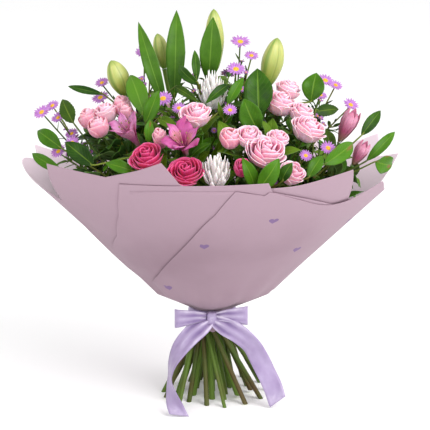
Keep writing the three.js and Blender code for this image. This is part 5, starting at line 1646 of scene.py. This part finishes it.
class Finish:
    """A material with a few nodes; every plain value is set on the shader's own socket."""

    def __init__(self, name, roughness, **sockets):
        self.material = bpy.data.materials.new(name)
        self.material.use_nodes = True
        self.tree = self.material.node_tree
        self.shader = self.tree.nodes["Principled BSDF"]
        self.shader.inputs["Roughness"].default_value = roughness
        for socket, value in sockets.items():
            self.shader.inputs[socket.replace("_", " ")].default_value = value

    def put(self, socket, value):
        if isinstance(value, Value):
            self.tree.links.new(value.socket, socket)
        elif isinstance(value, tuple) and len(value) < len(socket.default_value):
            socket.default_value = (*value, 1)
        else:
            socket.default_value = value

    def node(self, kind, inputs=None, output=0, **settings):
        """Adds a node with its settings and inputs, and gives one of its outputs."""
        node = self.tree.nodes.new("ShaderNode" + kind)
        for setting, value in settings.items():
            setattr(node, setting, value)
        for socket, value in (inputs or {}).items():
            self.put(node.inputs[socket], value)
        return Value(self, node.outputs[output])

    @cached_property
    def place(self):
        """The texture place: across and along a petal, a leaf or a strip, both from 0 to 1."""
        return self.node("UVMap", uv_map="place")

    @cached_property
    def across(self):
        return self.node("SeparateXYZ", {0: self.place}, 0)

    @cached_property
    def along(self):
        return self.node("SeparateXYZ", {0: self.place}, 1)

    @cached_property
    def aside(self):
        """0 on the middle line, 0.5 at the edges."""
        return abs(self.across - 0.5)

    @cached_property
    def solid(self):
        """The place in the model, in metres."""
        return self.node("TexCoord", output="Object")

    @cached_property
    def single(self):
        """A number from 0 to 1 of its own for each petal, leaf or stalk."""
        return self.node("NewGeometry", output="Random Per Island")

    def math(self, operation, *values):
        return self.node("Math", dict(enumerate(values)), operation=operation)

    def share(self, value, low, high):
        """0 at low and 1 at high, smoothly."""
        return self.node("MapRange", {0: value, 1: low, 2: high}, interpolation_type="SMOOTHSTEP")

    def mix(self, share, first, second, blend="MIX"):
        return self.node("Mix", {0: share, 6: first, 7: second}, 2, data_type="RGBA", blend_type=blend)

    def noise(self, vector, scale, detail=2.0):
        return self.node("TexNoise", {"Vector": vector, "Scale": scale, "Detail": detail}, "Fac")

    def streaks(self, across, along, detail=2.0):
        """Noise stretched along or across a petal, other noise for each."""
        scaled = self.node("VectorMath", {0: self.place, 1: (across, along, 1)}, operation="MULTIPLY")
        shift = self.node("CombineXYZ", {2: self.single * ISLAND_SHIFT})
        return self.noise(self.node("VectorMath", {0: scaled, 1: shift}, operation="ADD"), 1.0, detail)

    def lines(self, value, width):
        """1 along thin lines where the value passes a whole number."""
        return self.share(abs(self.math("FRACT", value) - 0.5), 0.5 - width, 0.5)

    def ramp(self, value, *stops):
        """Colours at stops from 0 to 1."""
        colour = self.node("ValToRGB", {0: value})
        band = colour.socket.node.color_ramp
        while len(band.elements) < len(stops):
            band.elements.new(0.5)
        for element, (at, tone) in zip(band.elements, stops):
            element.position = at
            element.color = (*tone, 1)
        return colour

    def bump(self, height, depth, strength):
        bumps = self.node("Bump", {"Strength": strength, "Distance": depth * MM, "Height": height})
        self.put(self.shader.inputs["Normal"], bumps)

    def done(self, colour):
        self.put(self.shader.inputs["Base Color"], colour)
        return self.material


# ---------------------------------------------------------------- the finishes

# Petals: base, body, rim and streaks as seen on a screen, and how much light goes through.
PETALS = {
    "pinkPetal": ((240, 194, 182), (249, 196, 214), (252, 220, 230), (242, 168, 194), 0.25),
    "pinkPetalHeart": ((240, 154, 184), (246, 172, 200), (251, 206, 222), (238, 140, 176), 0.25),
    "hotPetal": ((190, 50, 94), (214, 40, 108), (230, 92, 148), (180, 18, 82), 0.25),
    "hotPetalHeart": ((180, 26, 86), (202, 28, 98), (218, 64, 128), (164, 12, 70), 0.25),
    "budPetal": ((204, 186, 120), (241, 152, 176), (247, 190, 204), (228, 120, 152), 0.25),
    "quill": ((222, 218, 186), (246, 240, 237), (252, 248, 246), (236, 222, 220), 0.1),
    "ray": ((214, 178, 220), (182, 112, 192), (198, 144, 208), (154, 86, 178), 0.1),
}
# Alstroemeria: base, body and edge, how strong the yellow patch is, and the dark dashes.
TEPALS = {
    "outerTepal": ((140, 100, 90), (158, 38, 112), (188, 84, 150), 0.0, 0.4),
    "innerTepal": ((164, 100, 112), (160, 46, 120), (198, 108, 168), 0.22, 1.0),
    "paleTepal": ((150, 116, 92), (166, 70, 132), (208, 144, 188), 0.06, 1.0),
    "closed": ((112, 122, 60), (166, 74, 112), (214, 150, 176), 0.0, 1.0),
}
# Leaves: dark, light and rib, roughness, number of veins, their slope, and how strong brown spots are.
LEAF_TONES = {
    "broadLeaf": ((16, 46, 2), (66, 114, 10), (112, 146, 44), 0.34, 9, 5, 0.8),
    "broadBack": ((58, 98, 40), (82, 122, 54), (130, 160, 88), 0.6, 9, 5, 0),
    "roseLeaf": ((24, 52, 4), (84, 116, 16), (120, 144, 44), 0.45, 11, 6, 0),
    "roseBack": ((74, 104, 54), (98, 126, 66), (138, 158, 96), 0.65, 11, 6, 0),
    "lilyLeaf": ((22, 60, 6), (74, 118, 24), (112, 148, 54), 0.36, 15, 0, 0),
    "lilyBack": ((58, 106, 42), (86, 132, 60), (122, 160, 84), 0.5, 15, 0, 0),
}
# Stems: green, brown, and how much of the brown there is.
STEM_TONES = {
    "stem": ((98, 130, 38), (104, 100, 44), 0.2),
    "lilyStem": ((114, 148, 52), (78, 108, 34), 0.12),
    "roseStem": ((84, 110, 34), (104, 78, 42), 0.26),
    "woodyStem": ((92, 104, 38), (102, 78, 42), 0.32),
}
# What has a fine grain of two tones: low, high, roughness, scale and depth of the grain.
GRAINS = {
    "sepal": ((50, 92, 26), (84, 122, 42), 0.55, 160.0, 0.3),
    "disc": ((206, 132, 14), (242, 196, 40), 0.7, 1100.0, 0.8),
    "stamen": ((214, 120, 160), (230, 160, 190), 0.5, 300.0, 0.3),
    "anther": ((120, 110, 60), (160, 140, 80), 0.8, 300.0, 0.3),
    "cut": ((190, 200, 140), (214, 220, 170), 0.7, 900.0, 0.3),
}
# Paper: colour and its shade.
PAPERS = {
    "paper": ((150, 126, 138), (138, 114, 126)),
    # The inside is drawn paler: partly the paper's own paler inner side, partly painted light that lifts its
    # shaded faces.
    "paperInside": ((222, 203, 214), (212, 191, 203)),
    "heart": ((120, 94, 134), (112, 88, 126)),
}
# Ribbon: whether the piece is a loop, with both its ends at the knot.
RIBBONS = {"ribbon": (False,), "ribbonLoop": (True,)}

BLACK, WHITE = (0, 0, 0), (1, 1, 1)
SPOT = linear(120, 85, 45)
STEM_SHADES = ((0.0, (0.34, 0.34, 0.3)), (0.5, (0.8, 0.8, 0.7)), (1.0, (1.5, 1.4, 1.1)))
YELLOW_PATCH = linear(240, 205, 90)
DARK_DASH = linear(90, 15, 50)
# Painted light on the satin, from the darkest stop to the lightest: painted shade in the fold valleys up to a
# painted highlight on the ridges.
SATIN_SHADE_TO_HIGHLIGHT = lit((112, 90, 138), (146, 128, 165), (160, 145, 178), (206, 195, 214))
SATIN = tuple(zip((0.0, 0.35, 0.65, 1.0), SATIN_SHADE_TO_HIGHLIGHT))
SATIN_EDGE = linear(148, 126, 172)
LILY_TONES = lit((98, 134, 40), (158, 168, 78), (180, 184, 104), (124, 146, 54))
LILY_GREENS = tuple(zip((0.0, 0.3, 0.85, 1.0), LILY_TONES))
LILY_RIB_GREEN, LILY_SEAM_GREEN, LILY_STREAK = lit((100, 134, 40), (108, 130, 50), (120, 146, 54))
TWINE = lit((95, 75, 45), (165, 140, 98))
TWINE_TWIST = 4200              # of its strands, in radians a metre of height


def petal_finish(name, base, body, rim, streak, glow):
    """A petal: its base, body and rim have their own colours, with fine streaks along it."""
    base, body, rim, streak = lit(base, body, rim, streak)
    f = Finish(name, 0.55, Sheen_Weight=0.15, Subsurface_Weight=glow, Subsurface_Scale=0.006)
    colour = f.ramp(f.along, (0.0, base), (0.3, body), (0.78, body), (0.98, rim))
    colour = f.mix(f.share(f.streaks(16, 1.4, 3), 0.45, 0.75), colour, f.mix(0.45, colour, streak))
    colour = f.mix(f.share(f.aside, 0.36, 0.5) * 0.6, colour, rim)
    tone = f.ramp(f.single * 0.2 + 0.86, (0, BLACK), (1, WHITE))
    f.bump(f.streaks(40, 3, 3), 0.25, 0.5)
    return f.done(f.mix(1.0, colour, tone, "MULTIPLY"))


def tepal_finish(name, base, body, edge, yellow, dashes):
    """An alstroemeria's tepal: dark dashes along its veins, on a yellow patch on the inner ones."""
    base, body, edge = lit(base, body, edge)
    f = Finish(name, 0.45, Sheen_Weight=0.1, Subsurface_Weight=0.1, Subsurface_Scale=0.004)
    colour = f.ramp(f.along, (0.0, base), (0.4, body), (0.8, edge), (1.0, body))
    veins = f.streaks(22, 1.2)
    colour = f.mix(f.share(veins, 0.4, 0.7), colour, f.mix(0.5, colour, body))
    patch = f.share(f.along, 0.38, 0.5) * f.share(f.along, 0.82, 0.68)
    colour = f.mix(patch * yellow, colour, YELLOW_PATCH)
    dash = f.lines(f.across * 7, 0.16) * f.share(f.streaks(9, 9, 1), 0.48, 0.55)
    span = f.share(f.along, 0.3, 0.42) * f.share(f.along, 0.86, 0.74)
    f.bump(veins, 0.3, 0.5)
    return f.done(f.mix(dash * span * dashes, colour, DARK_DASH))


def leaf_finish(name, dark, light, rib, roughness, veins, slope, spots):
    """A leaf: a pale rib along its middle and side veins, or veins along it where the slope is 0."""
    dark, light, rib = lit(dark, light, rib)
    f = Finish(name, roughness, Specular_IOR_Level=0.15)
    # Painted light: the f.along term makes each leaf lighter towards its tip and darker at its foot.
    patches = f.noise(f.solid, 70, 3) * 0.5 + f.along * 0.18
    colour = f.mix(f.share(patches + f.single * 0.6, 0.2, 1.0), dark, light)
    vein = f.lines(f.along * veins - f.aside * slope, 0.07) if slope else f.lines(f.across * veins, 0.12)
    middle = f.share(f.aside, 0.05, 0.012)
    colour = f.mix(vein * 0.14, colour, rib)
    colour = f.mix(middle * 0.45, colour, rib)
    if spots:
        brown = f.share(f.streaks(2, 2, 3), 0.56, 0.66) * f.share(f.single, 0.86, 0.88)
        colour = f.mix(brown * spots, colour, SPOT)
    f.bump(vein * -0.5 + middle * -1.0, 0.35, 0.8)
    return f.done(colour)


def stem_finish(name, green, brown, share):
    """A stem: brown patches on green, a fine grain along it, and its own shade for each stem."""
    green, brown = lit(green, brown)
    f = Finish(name, 0.55, Specular_IOR_Level=0.3)
    grain = f.streaks(3, 30, 4)
    patches = f.noise(f.solid, 26, 3) + f.single * 0.25
    colour = f.mix(f.share(patches, 0.7 - share, 1.1 - share), green, brown)
    colour = f.mix(grain * 0.4, colour, toned(green, 0.45))
    f.bump(grain, 0.3, 0.6)
    return f.done(f.mix(1.0, colour, f.ramp(f.single, *STEM_SHADES), "MULTIPLY"))


def grain_finish(name, low, high, roughness, scale, depth):
    """Two close tones in a fine grain."""
    f = Finish(name, roughness)
    grain = f.noise(f.solid, scale, 3)
    f.bump(grain, depth, 0.6)
    return f.done(f.mix(f.share(grain, 0.35, 0.65), *lit(low, high)))


def paper_finish(name, colour, shade):
    """Paper: faint clouds and fibres, with painted light that makes it paler towards its top edge, and
    slightly uneven.
    """
    colour, shade = lit(colour, shade)
    f = Finish(name, 0.8, Specular_IOR_Level=0.25, Sheen_Weight=0.08)
    fibre = f.noise(f.solid, 420)
    tone = f.mix(f.share(f.noise(f.solid, 9, 3), 0.35, 0.75), colour, shade)
    # Painted light: the upper part of each sheet is drawn up to 1.22 times lighter, as if more light fell
    # there.
    tone = f.mix(f.share(f.along, 0.55, 0.98), tone, toned(colour, 1.22))
    tone = f.mix(fibre * 0.1, tone, toned(colour, 0.7))
    f.bump(f.noise(f.solid, 22, 4) * 2.2 + fibre * 0.06, 1.2, 0.35)
    return f.done(tone)


def ribbon_finish(name, is_loop):
    """Satin, coloured with painted light: painted shade in the valleys between the folds near the knot,
    painted highlights on their ridges, and painted streaks of both along the strip.
    """
    f = Finish(name, 0.28, Sheen_Weight=0.1, Specular_IOR_Level=0.55)
    weave = f.math("SINE", f.across * 340)
    edge = f.share(f.aside, 0.46, 0.485)
    # The folds' wave paints shade into the valleys and highlights onto the ridges near the knot; the streaks
    # add painted sheen along the strip.
    painted_fold_light = f.math("COSINE", f.across * (2 * FOLD_TURN) + (FOLD_PHASE - FOLD_TURN))
    near_knot = abs(f.along * 2 - 1) if is_loop else 1 - f.along * 2.2
    folds = painted_fold_light * f.share(near_knot, 0.0, 0.9) + (f.streaks(1.2, 5, 3) - 0.5) * 3
    colour = f.ramp(f.share(folds, -1.6, 1.6), *SATIN)
    f.bump(weave * 0.04 + edge * 0.5, 0.25, 0.5)
    return f.done(f.mix(edge * 0.5, colour, SATIN_EDGE))


def lily_finish():
    """A closed lily bud: greener at both ends, along its three ribs and its seams."""
    f = Finish("lilyBud", 0.42, Subsurface_Weight=0.1, Subsurface_Scale=0.006, Coat_Weight=0.1)
    lobes = f.math("COSINE", f.across * (3 * TURN))
    streaks = f.streaks(60, 1.2)
    colour = f.ramp(f.along, *LILY_GREENS)
    colour = f.mix(f.share(lobes, 0.72, 0.98) * 0.75, colour, LILY_RIB_GREEN)
    colour = f.mix(f.share(lobes, -0.93, -0.995) * 0.5, colour, LILY_SEAM_GREEN)
    colour = f.mix(f.share(streaks, 0.45, 0.7) * 0.35, colour, LILY_STREAK)
    f.bump(streaks, 0.4, 0.6)
    return f.done(colour)


def twine_finish():
    f = Finish("twine", 0.9, Sheen_Weight=0.2)
    strand = f.math("SINE", f.node("SeparateXYZ", {0: f.solid}, 2) * TWINE_TWIST)
    f.bump(strand + f.noise(f.solid, 900, 3), 0.5, 0.8)
    return f.done(f.mix(f.share(strand, -1.0, 0.6), *TWINE))


MAKERS = (
    (petal_finish, PETALS),
    (tepal_finish, TEPALS),
    (leaf_finish, LEAF_TONES),
    (stem_finish, STEM_TONES),
    (grain_finish, GRAINS),
    (paper_finish, PAPERS),
    (ribbon_finish, RIBBONS),
)
FINISHES = {name: make(name, *row) for make, rows in MAKERS for name, row in rows.items()}
FINISHES |= {"lilyBud": lily_finish(), "twine": twine_finish()}

# ---------------------------------------------------------------- dressing the model

ROSE_PETALS = {"rose": "pinkPetal", "bud": "budPetal"}
PALE_ALSTROEMERIA = "alstroemeria_flower_left"
PALE_TEPALS, DEEP_TEPALS = ("paleTepal", "paleTepal"), ("outerTepal", "innerTepal")


def add_bloom(shape, bloom, random):
    axis = head_axis(bloom.kind, bloom.at)
    place = Place(vec(*bloom.at) - axis * (bloom.height / 2), axis)
    size = bloom.width, bloom.height
    if bloom.kind in ("rose", "bud"):
        finish = "hotPetal" if bloom.node.startswith("hot") else ROSE_PETALS[bloom.kind]
        add_rose(shape, place, bloom.kind, *size, finish, random)
    elif bloom.kind == "chrysanthemum":
        add_chrysanthemum(shape, place, *size, random)
    elif bloom.kind == "closed":
        add_closed_alstroemeria(shape, place, *size, random)
    elif bloom.kind == "lily":
        add_lily_bud(shape, place, *size)
    else:
        finishes = PALE_TEPALS if bloom.node == PALE_ALSTROEMERIA else DEEP_TEPALS
        add_alstroemeria(shape, place, *size, random, finishes)


def add_plants():
    random = stream(SEEDS["details"])
    stems = plan_plants()
    add_undergrowth(stems)
    for stem in stems:
        shape = Shape()
        add_stem(shape, stem, random)
        shape.piece(stem.name + "_spray", stem.name + "_stem")
    for node in dict.fromkeys(bloom.node for bloom in BLOOMS):
        shape = Shape()
        for bloom in BLOOMS:
            if bloom.node == node:
                add_bloom(shape, bloom, random)
        shape.piece(node + "_petals", node)


def finish_tie():
    """The string tie is shown as it is in the solids."""
    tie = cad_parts["string_tie"]
    tie.data.materials.clear()
    tie.data.materials.append(FINISHES["twine"])


add_camera()
add_floor()
add_sky()
add_lights()
add_plants()
add_paper()
add_ribbon()
finish_tie()
